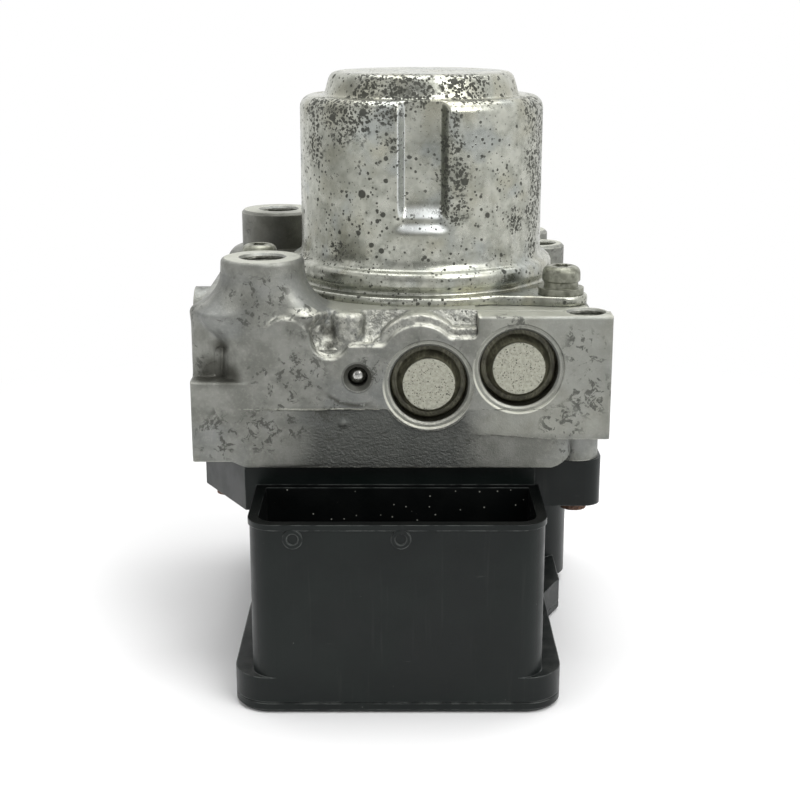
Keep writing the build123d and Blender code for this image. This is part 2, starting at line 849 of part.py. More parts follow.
with BuildPart() as valve_body:
    block(body_x0, core_x1, -core_reach, body_reach, body_z, top_z)
    fillet(valve_body.edges().filter_by(Axis.Z), body_corner_r)
    fillet(valve_body.faces().sort_by(Axis.Z)[-1].edges(), body_edge_r)
    # Slope from the top face down to the pad.
    with BuildSketch(Plane.YZ.offset(port_arch_x)) as slope:
        with BuildLine():
            Polyline(
                (-core_reach + 1, top_z - body_edge_r),
                (-core_reach, top_z - body_edge_r),
                (-slope_reach, slope_z),
                (-slope_reach, ledge_z),
                (-core_reach + 1, ledge_z),
                close=True,
            )
        make_face()
    extrude(slope.sketch, amount=pad_full_x - port_arch_x + 1)
    add(front_pad.part)
    # Lower front: a slightly recessed skirt, and a corner cut back round the control unit's screw.
    block(pad_left_x, skirt_x1, -skirt_reach, -core_reach, body_z, pad_step_z)
    block(
        skirt_x1,
        body_x1 + 1,
        -core_reach - 1,
        unit_screw_sites[0][1],
        body_z,
        pad_right_z,
        Mode.SUBTRACT,
    )
    for x, y in unit_screw_sites:
        if x > 0:
            turned(x, y, body_z, pad_right_z, corner_boss_r)
    # Cast columns of the front wall and the bosses of the ports.
    turned(groove_x, -core_reach, ledge_z, groove_z, groove_r, Mode.SUBTRACT)
    with Locations((groove_x, -core_reach, groove_z)):
        Sphere(groove_r, mode=Mode.SUBTRACT)
    add(cast_boss(rib_x, -rib_reach, pad_foot_z, rib_z, rib_r, cast_draft, boss_round))
    lobe_z = top_z + lobe_rise
    add(cast_boss(lobe_x, lobe_y, ledge_z, lobe_z, lobe_r, cast_draft, 2 * boss_round))
    add(
        cast_boss(
            corner_outlet_x,
            corner_outlet_y,
            pad_right_z,
            top_z,
            corner_round_r,
            cast_draft,
            corner_edge,
        )
    )
    add(
        cast_boss(
            inlet_x,
            inlet_y,
            ledge_z,
            inlet_boss_top,
            inlet_boss_r,
            boss_draft,
            boss_round,
        )
    )
    port_boss(rear_inlet_x, rear_inlet_y, ledge_z, rear_inlet_boss_top, rear_inlet_boss_r)
    for x, y, boss_top in outlet_boss_sites:
        port_boss(x, y, outlet_boss_foot_z, boss_top, outlet_boss_r)
    foot_r = inlet_boss_r + boss_draft * (inlet_boss_top - top_z) / (inlet_boss_top - ledge_z)
    add(boss_foot(inlet_x, inlet_y, foot_r, front_foot_r) & front_foot_room.part)
    rear_foot = boss_foot(rear_inlet_x, rear_inlet_y, rear_inlet_boss_r, inlet_foot_r)
    add(rear_foot & rear_foot_room.part)
    turned_x(
        bracket_boss_y,
        bracket_boss_z,
        bracket_boss_face,
        body_x0 + bracket_boss_root,
        bracket_boss_r,
    )
    # Pump and accumulator bores, each with a machined step round its mouth.
    for side in (-1, 1):
        step_reach = body_reach - face_sink
        for x, z in ((pump_x, pump_z), (store_x, store_z)):
            turned_y(x, z, side * core_reach, side * body_reach, face_ring_r)
            turned_y(x, z, side * step_reach, side * (body_reach + 1), face_sink_r, Mode.SUBTRACT)
            with Locations(Location((x, side * step_reach, z), (side * -90, 0, 0))):
                CounterSinkHole(plug_seat_r, face_mouth_r, step_reach - plug_reach0)
        turned_y(pump_x, pump_z, 0, side * sleeve_reach0, plunger_r + loose_gap, Mode.SUBTRACT)
        turned_y(
            pump_x,
            pump_z,
            side * sleeve_reach0,
            side * plug_reach0,
            sleeve_r + seat_gap,
            Mode.SUBTRACT,
        )
        turned_y(
            store_x,
            store_z,
            side * store_floor_reach,
            side * plug_reach0,
            piston_r + running_gap,
            Mode.SUBTRACT,
        )
    # Eccentric's chamber and the seat of the lower bearing.
    turned(0, 0, chamber_floor_z, top_z, chamber_r, Mode.SUBTRACT)
    turned(0, 0, top_z - bearing_w, top_z, bearing_r + seat_gap, Mode.SUBTRACT)
    with BuildSketch(Plane.XY.offset(top_z - gasket_t)) as gasket_groove:
        Circle(gasket_r + gasket_w / 2)
        Circle(gasket_r - gasket_w / 2, mode=Mode.SUBTRACT)
    extrude(gasket_groove.sketch, amount=gasket_t, mode=Mode.SUBTRACT)
    turned(lead_x, 0, body_z, top_z, lead_tube_r + seat_gap, Mode.SUBTRACT)
    # Ports.
    for x, y, port_top, drill_r, mouth_r, depth in port_sites:
        turned(x, y, port_top - depth, port_top, drill_r, Mode.SUBTRACT)
        mouth(x, y, port_top, drill_r, mouth_r)
    turned_x(
        bracket_boss_y,
        bracket_boss_z,
        bracket_boss_face,
        bracket_boss_face + bracket_depth,
        bracket_drill_r,
        Mode.SUBTRACT,
    )
    turned_x(
        right_bracket_y,
        right_bracket_z,
        core_x1 - bracket_depth,
        core_x1,
        bracket_drill_r,
        Mode.SUBTRACT,
    )
    for x, z, side in ball_sites:
        with Locations(Location((x, side * body_reach, z), (side * -90, 0, 0))):
            CounterSinkHole(ball_r, ball_mouth_r, ball_hole_depth)
    for x, y in valve_sites:
        radius = inlet_valve_r if y < 0 else outlet_valve_r
        turned(x, y, body_z, body_z + valve_seat_depth, radius + seat_gap, Mode.SUBTRACT)
    for x, y in motor_screw_sites:
        turned(x, y, top_z - motor_screw_grip, top_z, motor_screw_r + seat_gap, Mode.SUBTRACT)
    for x, y in unit_screw_sites:
        turned(x, y, body_z, body_z + unit_screw_grip, unit_screw_r + seat_gap, Mode.SUBTRACT)

save(valve_body.part, "valve_body")

# ---------------------------------------------------------------- bore plugs and balls
for bore, plug_x, plug_z in (("pump", pump_x, pump_z), ("accumulator", store_x, store_z)):
    for side, place in ((-1, "front"), (1, "rear")):
        with BuildPart() as plug:
            reach1 = plug_reach0 + plug_flange_t
            turned_y(plug_x, plug_z, side * plug_reach0, side * reach1, plug_r)
            chamfer(plug.edges().filter_by(GeomType.CIRCLE), plug_edge)
            with Locations(Location((plug_x, side * reach1, plug_z), (side * -90, 0, 0))):
                Cone(
                    plug_neck_r,
                    plug_button_r,
                    plug_neck_h,
                    align=(Align.CENTER, Align.CENTER, Align.MIN),
                )
            turned_y(plug_x, plug_z, side * reach1, side * (reach1 + plug_land), plug_button_r)
        save(plug.part, f"{bore}_plug_{place}")

with BuildPart() as bore_balls:
    for x, z, side in ball_sites:
        with Locations((x, side * (body_reach - ball_sink - ball_r), z)):
            Sphere(ball_r - seat_gap)

save(bore_balls.part, "bore_balls")

# ---------------------------------------------------------------- pump and accumulators
for side, place in ((-1, "front"), (1, "rear")):
    with BuildPart() as plunger:
        turned_y(pump_x, pump_z, side * plunger_reach0, side * plunger_reach1, plunger_r)
        turned_y(
            pump_x,
            pump_z,
            side * (plunger_reach1 - plunger_collar_t),
            side * plunger_reach1,
            plunger_collar_r,
        )
    save(plunger.part, f"pump_plunger_{place}")

    with BuildPart() as sleeve:
        sleeve_reach1 = sleeve_reach0 + sleeve_len
        turned_y(pump_x, pump_z, side * sleeve_reach0, side * sleeve_reach1, sleeve_r)
        turned_y(
            pump_x,
            pump_z,
            side * sleeve_reach0,
            side * sleeve_reach1,
            plunger_r + running_gap,
            Mode.SUBTRACT,
        )
    save(sleeve.part, f"pump_sleeve_{place}")

    pump_spring = coil_spring(
        pump_x,
        pump_z,
        side * plunger_reach1,
        side * plug_reach0,
        pump_spring_r,
        pump_wire,
        pump_spring_turns,
    )
    save(pump_spring, f"pump_spring_{place}")

    with BuildPart() as piston:
        piston_reach1 = piston_reach0 + piston_len
        turned_y(store_x, store_z, side * piston_reach0, side * piston_reach1, piston_r)
        turned_y(
            store_x,
            store_z,
            side * (piston_reach0 + 2 * piston_wall),
            side * piston_reach1,
            piston_r - piston_wall,
            Mode.SUBTRACT,
        )
    save(piston.part, f"accumulator_piston_{place}")

    store_spring = coil_spring(
        store_x,
        store_z,
        side * (piston_reach0 + 2 * piston_wall),
        side * plug_reach0,
        store_spring_r,
        store_wire,
        store_spring_turns,
    )
    save(store_spring, f"accumulator_spring_{place}")

# ---------------------------------------------------------------- solenoid valves
for name, row, valve_r in (("inlet", -1, inlet_valve_r), ("outlet", 1, outlet_valve_r)):
    with BuildPart() as valves:
        for x, y in valve_sites:
            if y * row < 0:
                continue
            turned(x, y, body_z, body_z + valve_seat_depth, valve_r)
            turned(x, y, dome_top, body_z, valve_collar_r)
            turned(x, y, dome_end_z, dome_top, dome_r)
            turned(
                x,
                y,
                dome_end_z + dome_wall,
                armature_z0 + armature_len + armature_lift + armature_rest_gap,
                dome_r - dome_wall,
                Mode.SUBTRACT,
            )
    save(valves.part, f"{name}_valves")

for index, (x, y) in enumerate(valve_sites):
    with BuildPart() as armature:
        turned(x, y, armature_z0, armature_z0 + armature_len, dome_r - dome_wall - running_gap)
    save(armature.part, f"valve_armature_{index + 1}")

with BuildPart() as coil_yokes:
    for x, y in valve_sites:
        turned(x, y, shelf_z, shelf_z + yoke_len, yoke_r)
        turned(
            x,
            y,
            shelf_z + yoke_end_t,
            shelf_z + yoke_len - yoke_end_t,
            yoke_r - yoke_wall,
            Mode.SUBTRACT,
        )
        turned(x, y, shelf_z, shelf_z + yoke_len, dome_r + coil_gap, Mode.SUBTRACT)
        for lead in (-1, 1):
            lead_at = x + lead * coil_lead_pitch / 2
            block(
                lead_at - lead_hole_w / 2,
                lead_at + lead_hole_w / 2,
                y - lead_hole_w / 2,
                y + lead_hole_w / 2,
                shelf_z,
                shelf_z + yoke_end_t,
                Mode.SUBTRACT,
            )

save(coil_yokes.part, "coil_yokes")

with BuildPart() as coil_windings:
    for x, y in valve_sites:
        bottom = shelf_z + yoke_end_t
        top = shelf_z + yoke_len - yoke_end_t
        turned(x, y, bottom, top, yoke_r - yoke_wall - seat_gap)
        turned(x, y, bottom, top, dome_r + coil_gap, Mode.SUBTRACT)

save(coil_windings.part, "coil_windings")

with BuildPart() as coil_leads:
    for x, y in valve_sites:
        with Locations((x, y, board_z + board_t)):
            with GridLocations(coil_lead_pitch, 0, 2, 1):
                Box(
                    coil_lead_w,
                    coil_lead_w,
                    shelf_z + yoke_end_t - board_z - board_t,
                    align=(Align.CENTER, Align.CENTER, Align.MIN),
                )

save(coil_leads.part, "coil_leads")

# ---------------------------------------------------------------- motor case
# Hollow of the drawn can, with the backs of the two pressed dents standing into it.
with BuildPart() as can_hollow:
    with BuildSketch(Plane.XZ):
        with BuildLine():
            Polyline(
                (0, top_z),
                (neck_r - can_wall, top_z),
                (neck_r - can_wall, bead_top),
                (can_r - can_wall, bead_top + can_wall),
                (can_r - can_wall, shoulder_z - can_wall),
                (dome_foot_r - can_wall, shoulder_z - can_wall),
                (dome_top_r - can_wall, dome_top_z - can_wall),
                (0, dome_top_z - can_wall),
                close=True,
            )
        make_face()
    revolve(axis=Axis.Z)
    for side in (-1, 1):
        with BuildSketch(Plane.XZ.offset(-side * (dent_reach - can_wall))) as back_floor:
            with Locations((0, (dent_z0 + dent_shelf_h + shoulder_z) / 2)):
                Rectangle(dent_floor_w + can_wall, shoulder_z - dent_z0 - dent_shelf_h + can_wall)
        with BuildSketch(Plane.XZ.offset(-side * can_r)) as back_mouth:
            with Locations((0, (dent_z0 - can_wall + shoulder_z) / 2)):
                Rectangle(dent_mouth_w + 2 * can_wall, shoulder_z - dent_z0 + can_wall)
        loft([back_floor.sketch.face(), back_mouth.sketch.face()], mode=Mode.SUBTRACT)

with BuildPart() as motor_can:
    with BuildSketch(Plane.XZ):
        with BuildLine():
            Polyline(
                (can_r, shoulder_z - shoulder_r),
                (can_r, bead_top + 2.0),
                (can_r + 0.7, bead_top + 1.0),
                (bead_r - 0.9, bead_top + 0.2),
                (bead_r, bead_top - 1.0),
                (bead_r, bead_top - bead_h + 0.8),
                (neck_r, bead_top - bead_h),
                (neck_r, top_z + motor_flange_t),
                (motor_flange_r, top_z + motor_flange_t),
                (motor_flange_r, top_z),
                (0, top_z),
                (0, dome_top_z),
                (dome_top_r - dome_edge_r, dome_top_z),
                (dome_top_r, dome_top_z - dome_edge_r),
                (dome_foot_r, shoulder_z),
                (can_r - shoulder_r, shoulder_z),
            )
            RadiusArc((can_r - shoulder_r, shoulder_z), (can_r, shoulder_z - shoulder_r), shoulder_r)
        make_face()
    revolve(axis=Axis.Z)
    with BuildSketch(Plane.XY.offset(top_z)) as ears:
        Circle(motor_flange_r)
        for x, y in motor_screw_sites:
            with Locations((x, y)):
                Circle(ear_r)
            with BuildLine():
                Polyline(*ear_web(x, y), close=True)
            make_face()
    extrude(ears.sketch, amount=motor_flange_t)
    for side in (-1, 1):
        with BuildSketch(Plane.XZ.offset(-side * dent_reach)) as dent_floor:
            with Locations((0, (dent_z0 + dent_shelf_h + dome_top_z) / 2)):
                Rectangle(dent_floor_w, dome_top_z - dent_z0 - dent_shelf_h)
        with BuildSketch(Plane.XZ.offset(-side * can_r)) as dent_mouth:
            with Locations((0, (dent_z0 + dome_top_z) / 2)):
                Rectangle(dent_mouth_w, dome_top_z - dent_z0)
        loft([dent_floor.sketch.face(), dent_mouth.sketch.face()], mode=Mode.SUBTRACT)
    add(can_hollow.part, mode=Mode.SUBTRACT)
    for x, y in motor_screw_sites:
        turned(x, y, top_z, top_z + motor_flange_t, motor_screw_r + loose_gap, Mode.SUBTRACT)

save(motor_can.part, "motor_can")

with BuildPart() as motor_gasket:
    with BuildSketch(Plane.XY.offset(top_z - gasket_t)):
        Circle(gasket_r + gasket_w / 2)
        Circle(gasket_r - gasket_w / 2, mode=Mode.SUBTRACT)
    extrude(amount=gasket_t)

save(motor_gasket.part, "motor_gasket")

with BuildPart() as screw_head:
    turned(0, 0, 0, motor_screw_head_h - motor_screw_collar_h, motor_screw_head_r)
    fillet(screw_head.edges().filter_by(GeomType.CIRCLE).sort_by(Axis.Z)[-1], screw_dome)
    fillet(screw_head.edges().filter_by(GeomType.CIRCLE).sort_by(Axis.Z)[0], screw_underside_r)

with BuildPart() as motor_screws:
    for x, y in motor_screw_sites:
        washer_z = top_z + motor_flange_t
        collar_base = washer_z + motor_washer_t
        head_z = collar_base + motor_screw_collar_h
        head_top = collar_base + motor_screw_head_h
        turned(x, y, top_z - motor_screw_grip, washer_z, motor_screw_r)
        turned(x, y, washer_z, collar_base, motor_washer_r)
        turned(x, y, collar_base, head_z, motor_screw_head_r - screw_waist)
        add(screw_head.part.moved(Location((x, y, head_z))))
        turned(x, y, head_top - socket_h, head_top, socket_r, Mode.SUBTRACT)

save(motor_screws.part, "motor_screws")

with BuildPart() as magnets:
    with BuildSketch(Plane.XY.offset(magnet_z0)):
        for centre in (0, 180):
            with BuildLine():
                outer = CenterArc(
                    (0, 0), magnet_r, centre - magnet_half_span, 2 * magnet_half_span
                )
                inner = CenterArc(
                    (0, 0), magnet_r - magnet_t, centre - magnet_half_span, 2 * magnet_half_span
                )
                Line(outer @ 0, inner @ 0)
                Line(outer @ 1, inner @ 1)
            make_face()
    extrude(amount=magnet_len)

save(magnets.part, "magnets")

with BuildPart() as bearing_retainer:
    turned(0, 0, retainer_z - retainer_wall, retainer_z, retainer_flange_r)
    turned(0, 0, upper_bearing_z0, retainer_z, upper_bearing_r + seat_gap + retainer_wall)
    turned(0, 0, upper_bearing_z0, retainer_z, upper_bearing_r + seat_gap, Mode.SUBTRACT)

save(bearing_retainer.part, "bearing_retainer")

for place, bearing_z0, width, radius in (
    ("lower", top_z - bearing_w, bearing_w, bearing_r),
    ("upper", upper_bearing_z0, upper_bearing_w, upper_bearing_r),
):
    with BuildPart() as bearing:
        turned(0, 0, bearing_z0, bearing_z0 + width, radius)
        turned(0, 0, bearing_z0, bearing_z0 + width, shaft_r + running_gap, Mode.SUBTRACT)
        # Shallow seals between the races on both faces.
        with BuildSketch(Plane.XY.offset(bearing_z0)) as seal_ring:
            Circle(radius - race_t)
            Circle(shaft_r + race_t, mode=Mode.SUBTRACT)
        extrude(seal_ring.sketch, amount=seal_sink, mode=Mode.SUBTRACT)
        extrude(
            seal_ring.sketch.moved(Location((0, 0, width - seal_sink))),
            amount=seal_sink,
            mode=Mode.SUBTRACT,
        )
    save(bearing.part, f"{place}_bearing")

# ---------------------------------------------------------------- brush gear
channel_w = brush_w + 2 * brush_gap
channel_h = brush_h + 2 * brush_gap
with BuildPart() as brush_plate:
    turned(0, 0, top_z, top_z + brush_plate_t, neck_r - can_wall - brush_plate_gap)
    turned(0, 0, top_z, top_z + brush_plate_t, bearing_r + brush_plate_gap, Mode.SUBTRACT)
    for side in (-1, 1):
        near = side * holder_x0
        far = side * (spring_x1 + holder_wall)
        block(
            min(near, far),
            max(near, far),
            -channel_w / 2 - holder_wall,
            channel_w / 2 + holder_wall,
            top_z + brush_plate_t,
            brush_z + channel_h / 2 + holder_wall,
        )
        block(
            min(near, side * spring_x1),
            max(near, side * spring_x1),
            -channel_w / 2,
            channel_w / 2,
            brush_z - channel_h / 2,
            brush_z + channel_h / 2,
            Mode.SUBTRACT,
        )

save(brush_plate.part, "brush_plate")

for side, place in ((-1, "left"), (1, "right")):
    with BuildPart() as brush:
        block(
            min(side * brush_x0, side * brush_x1),
            max(side * brush_x0, side * brush_x1),
            -brush_w / 2,
            brush_w / 2,
            brush_z - brush_h / 2,
            brush_z + brush_h / 2,
        )
    save(brush.part, f"brush_{place}")

    spring_low = min(side * brush_x1, side * spring_x1)
    spring = coil_spring(0, 0, 0, brush_spring_len, brush_spring_r, brush_wire, brush_spring_turns)
    save(Location((spring_low, 0, brush_z), (0, 0, -90)) * spring, f"brush_spring_{place}")

with BuildPart() as motor_leads:
    for side in (-1, 1):
        y = side * lead_pitch / 2
        block(
            lead_x - lead_w / 2,
            lead_x + lead_w / 2,
            y - lead_w / 2,
            y + lead_w / 2,
            board_z + board_t,
            top_z,
        )

save(motor_leads.part, "motor_leads")

with BuildPart() as lead_tube:
    turned(lead_x, 0, shelf_z, top_z, lead_tube_r)
    for side in (-1, 1):
        y = side * lead_pitch / 2
        block(
            lead_x - lead_w / 2,
            lead_x + lead_w / 2,
            y - lead_w / 2,
            y + lead_w / 2,
            shelf_z,
            top_z,
            Mode.SUBTRACT,
        )

save(lead_tube.part, "lead_tube")

# ---------------------------------------------------------------- rotor
with BuildPart() as motor_shaft:
    turned(0, 0, eccentric_z1, shaft_top_z, shaft_r)
    turned(eccentric_throw, 0, eccentric_z0, eccentric_z1, eccentric_r)

save(motor_shaft.part, "motor_shaft")

with BuildPart() as eccentric_ring:
    turned(eccentric_throw, 0, pump_z - ring_w / 2, pump_z + ring_w / 2, ring_r)
    turned(
        eccentric_throw,
        0,
        pump_z - ring_w / 2,
        pump_z + ring_w / 2,
        eccentric_r + running_gap,
        Mode.SUBTRACT,
    )

save(eccentric_ring.part, "eccentric_ring")

with BuildPart() as rotor_core:
    with BuildSketch(Plane.XY.offset(core_z0)):
        Circle(armature_r)
        Circle(shaft_r + seat_gap, mode=Mode.SUBTRACT)
        with PolarLocations((slot_root_r + armature_r - tooth_tip_t) / 2, slot_count):
            Rectangle(armature_r - tooth_tip_t - slot_root_r, slot_w, mode=Mode.SUBTRACT)
        with PolarLocations(armature_r - tooth_tip_t / 2, slot_count):
            Rectangle(tooth_tip_t + 1, slot_w / 3, mode=Mode.SUBTRACT)
    extrude(amount=core_len)

save(rotor_core.part, "rotor_core")

with BuildPart() as rotor_winding:
    with BuildSketch(Plane.XY.offset(core_z0 - winding_overhang)):
        Circle(winding_r)
        Circle(slot_root_r - 2, mode=Mode.SUBTRACT)
    extrude(amount=winding_overhang)
    with BuildSketch(Plane.XY.offset(core_z0 + core_len)):
        Circle(winding_r)
        Circle(slot_root_r - 2, mode=Mode.SUBTRACT)
    extrude(amount=winding_overhang)
    with BuildSketch(Plane.XY.offset(core_z0)):
        slot_len = winding_r - slot_root_r - 2 * seat_gap
        with PolarLocations((winding_r + slot_root_r) / 2, slot_count):
            Rectangle(slot_len, slot_w - 2 * seat_gap)
    extrude(amount=core_len)
    chamfer(
        rotor_winding.edges()
        .filter_by(GeomType.CIRCLE)
        .filter_by(lambda edge: abs(edge.radius - winding_r) < 0.1)
        .filter_by(
            lambda edge: edge.center().Z < core_z0 - 1 or edge.center().Z > core_z0 + core_len + 1
        ),
        winding_overhang / 3,
    )

save(rotor_winding.part, "rotor_winding")

with BuildPart() as commutator:
    with BuildSketch(Plane.XY.offset(commutator_z0)):
        Circle(commutator_r)
        Circle(shaft_r + seat_gap, mode=Mode.SUBTRACT)
        with PolarLocations(commutator_r, slot_count):
            Rectangle(2 * commutator_slot_w, commutator_slot_w, mode=Mode.SUBTRACT)
    extrude(amount=commutator_len)

save(commutator.part, "commutator")
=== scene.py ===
"""Dresses the brake control module: finishes for every solid of the frame, and the forms that
the solids leave out, such as the pressed can's skin, the casting's blended front, its parting seam,
the ports' threads and the screws' drive recesses.

Lengths in the classes are in millimetres, because that is how the makers of castings, pressings
and mouldings give them. MM turns them to Blender's metres.
"""

import logging
import math
import random
from abc import ABC, abstractmethod
from collections.abc import Callable
from dataclasses import dataclass
from enum import Enum

import bmesh
import bpy
import numpy as np
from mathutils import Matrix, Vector


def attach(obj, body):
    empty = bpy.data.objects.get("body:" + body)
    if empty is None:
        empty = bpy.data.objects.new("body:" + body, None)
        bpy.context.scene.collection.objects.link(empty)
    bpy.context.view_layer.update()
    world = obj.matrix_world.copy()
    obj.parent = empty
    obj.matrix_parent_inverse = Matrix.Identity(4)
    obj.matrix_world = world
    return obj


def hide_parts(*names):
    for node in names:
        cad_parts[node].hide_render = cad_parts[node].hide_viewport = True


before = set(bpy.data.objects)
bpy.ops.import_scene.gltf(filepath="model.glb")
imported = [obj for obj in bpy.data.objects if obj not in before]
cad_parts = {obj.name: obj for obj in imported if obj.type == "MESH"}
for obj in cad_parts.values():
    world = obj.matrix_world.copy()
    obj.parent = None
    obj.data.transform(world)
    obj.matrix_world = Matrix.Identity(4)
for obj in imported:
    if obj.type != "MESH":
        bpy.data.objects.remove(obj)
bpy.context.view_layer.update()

MM = 0.001
FRONT = -48.5  # the valve body's front face
PARTING_Z = 71.0  # where the die's halves met
PUMP_BORE = (1.5, 77.3)  # x and z of a plugged bore's axis
BORES = (PUMP_BORE, (24.2, 81.4))
BALL_HOLE = (-16.5, 79.1)
TEAR = 1.2  # width of the tears in a ball's ragged outline
EARS = ((36.2, -29.5), (-45.6, 6.0), (-17.4, 43.2))  # x and y of the can's screws

Pair = tuple[float, float]
Triple = tuple[float, float, float]
Ball = tuple[float, float, float, float]  # place and radius

log = logging.getLogger("brake_module")


# ---------------------------------------------------------------- nodes and colours
def linear(colour: str) -> tuple[float, float, float, float]:
    """Turns an sRGB hex colour to linear light.

    Args:
        colour: Six hex digits with a leading hash.

    Returns:
        Red, green, blue and an alpha of 1.
    """
    parts = [int(colour[i : i + 2], 16) / 255 for i in (1, 3, 5)]
    light = [c / 12.92 if c <= 0.04045 else ((c + 0.055) / 1.055) ** 2.4 for c in parts]
    return (light[0], light[1], light[2], 1.0)


class Axis(Enum):
    """The object's axes, by their place in a vector."""

    X = 0
    Y = 1
    Z = 2


Box = tuple[tuple[Axis, float, float, float], ...]  # low, high and softness across each axis


class Fade(Enum):
    """How a mask fades at its border, by the node's own words."""

    STRAIGHT = "LINEAR"
    SOFT = "SMOOTHSTEP"


class Field:
    """Masks and patterns measured on the object itself, in one node tree."""

    def __init__(self, tree: bpy.types.NodeTree) -> None:
        """Starts from the object's own coordinates and its true normal."""
        self.tree = tree
        self.place = self.node("TexCoord", out="Object")
        self.normal = self.node("NewGeometry", out="Normal")

    def node(
        self,
        kind: str,
        links: dict[int | str, object] | None = None,
        out: int | str = 0,
        **settings: object,
    ) -> bpy.types.NodeSocket:
        """Adds one node with its settings and links.

        Args:
            kind: Blender's name of the node type, without its leading ShaderNode.
            links: Input name or index, to the socket that feeds it, the value it holds or a
                hex colour.
            out: Name or index of the output to return.
            settings: The node's own properties.

        Returns:
            The asked output, or the first input of a node that has no outputs.
        """
        made = self.tree.nodes.new("ShaderNode" + kind)
        for key, value in settings.items():
            setattr(made, key, value)
        for key, source in (links or {}).items():
            if isinstance(source, bpy.types.NodeSocket):
                self.tree.links.new(source, made.inputs[key])
            else:
                held = linear(source) if isinstance(source, str) else source
                made.inputs[key].default_value = held
        return made.outputs[out] if made.outputs else made.inputs[0]

    def overlap(self, *masks: object) -> object:
        """Where all the masks hold: their product. A number weakens the rest."""
        held = masks[0]
        for mask in masks[1:]:
            held = self.node("Math", {0: held, 1: mask}, operation="MULTIPLY")
        return held

    def union(self, *masks: object) -> object:
        """Where any of the masks holds: their maximum."""
        held = masks[0]
        for mask in masks[1:]:
            held = self.node("Math", {0: held, 1: mask}, operation="MAXIMUM")
        return held

    def paint(self, under: object, over: object, *masks: object) -> bpy.types.NodeSocket:
        """Lays one colour over another where all the masks hold.

        Args:
            under: Colour below, as a socket or as hex.
            over: Colour on top, as a socket or as hex.
            masks: Masks and shares from 0 to 1.

        Returns:
            The mixed colour.
        """
        links = {0: self.overlap(*masks), 6: under, 7: over}
        return self.node("Mix", links, out=2, data_type="RGBA")

    def torn(self, size: float, reach: float) -> bpy.types.NodeSocket:
        """The object's coordinates pulled about, which makes any mask's outline ragged.

        Args:
            size: Width of the tears in millimetres.
            reach: How far a point is pulled, in millimetres.

        Returns:
            The displaced coordinates.
        """
        links = {"Vector": self.place, "Scale": 1 / (size * MM), "Detail": 3.0, "Roughness": 0.6}
        noise = self.node("TexNoise", links, out="Color")
        links = {0: noise, 1: (0.5, 0.5, 0.5)}
        pull = self.node("VectorMath", links, operation="SUBTRACT")
        links = {0: pull, 1: (2 * reach * MM,) * 3, 2: self.place}
        return self.node("VectorMath", links, operation="MULTIPLY_ADD")

    def cloud(
        self,
        size: float,
        low: float,
        high: float,
        detail: float = 4.0,
        run: Triple = (1.0, 1.0, 1.0),
        warp: float = 0.0,
    ) -> bpy.types.NodeSocket:
        """Soft irregular patches.

        Args:
            size: Width of a patch in millimetres.
            low: Noise value where the mask starts.
            high: Noise value where the mask is full.
            detail: Number of finer layers.
            run: How closely the pattern packs along each axis.
            warp: How far the patches are drawn out of round.

        Returns:
            A mask from 0 to 1.
        """
        links = {0: self.place, 1: run}
        place = self.node("VectorMath", links, operation="MULTIPLY")
        links = {"Vector": place, "Scale": 1 / (size * MM), "Detail": detail}
        links |= {"Roughness": 0.6, "Distortion": warp}
        noise = self.node("TexNoise", links)
        links = {"Value": noise, "From Min": low, "From Max": high}
        return self.node("MapRange", links, interpolation_type=Fade.SOFT.value)

    def spots(
        self, spacing: float, radius: float, share: float, ragged: float = 0.0
    ) -> bpy.types.NodeSocket:
        """Round spots of mixed sizes scattered over the surface.

        Args:
            spacing: Mean distance between places where a spot may be, in millimetres.
            radius: Radius of the largest spot in millimetres.
            share: Share of those places that hold a spot.
            ragged: How far the outlines are pulled out of round, in millimetres.

        Returns:
            A mask that is 1 inside the spots.
        """
        place = self.torn(2 * radius, ragged) if ragged else self.place
        links = {"Vector": place, "Scale": 1 / (spacing * MM)}
        away = self.node("TexVoronoi", links)
        luck = self.node("TexVoronoi", links, out="Color")
        held = self.node("SeparateColor", {0: luck})
        size = self.node("SeparateColor", {0: luck}, out=1)
        chosen = self.node("Math", {0: held, 1: share}, operation="LESS_THAN")
        # The smallest spots have 0.35 of the largest one's radius.
        links = {0: size, 1: 0.65 * radius / spacing, 2: 0.35 * radius / spacing}
        reach = self.node("Math", links, operation="MULTIPLY_ADD")
        inside = self.node("Math", {0: reach, 1: away}, operation="SUBTRACT")
        links = {"Value": inside, "From Min": -0.02, "From Max": 0.04}
        return self.overlap(self.node("MapRange", links), chosen)

    def near(self, points: tuple[Ball, ...], soft: float, ragged: float = 0.0) -> object:
        """Soft balls round given points.

        Args:
            points: Place and radius of each ball in millimetres.
            soft: Share of the radius over which a ball fades out.
            ragged: How far the outlines are pulled out of round, in millimetres.

        Returns:
            A mask that is 1 inside the balls.
        """
        place = self.torn(TEAR, ragged) if ragged else self.place
        balls = []
        for x, y, z, radius in points:
            links = {0: place, 1: (x * MM, y * MM, z * MM)}
            away = self.node("VectorMath", links, out="Value", operation="DISTANCE")
            links = {"Value": away, "From Min": radius * MM, "From Max": radius * (1 - soft) * MM}
            balls.append(self.node("MapRange", links, interpolation_type=Fade.SOFT.value))
        return self.union(*balls)

    def between(
        self, length: object, low: float, high: float, soft: float, fade: Fade
    ) -> object:
        """Mask of where a length in metres lies between two borders.

        Args:
            length: The length.
            low: Lower border in millimetres.
            high: Upper border in millimetres.
            soft: Half the width over which the mask fades at a border, in millimetres.
            fade: How it fades there.

        Returns:
            A mask that is 1 between the borders.
        """
        sides = []
        for border, way in ((low, 1), (high, -1)):
            links = {"Value": length, "From Min": (border - way * soft) * MM}
            links["From Max"] = (border + way * soft) * MM
            sides.append(self.node("MapRange", links, interpolation_type=fade.value))
        return self.overlap(*sides)

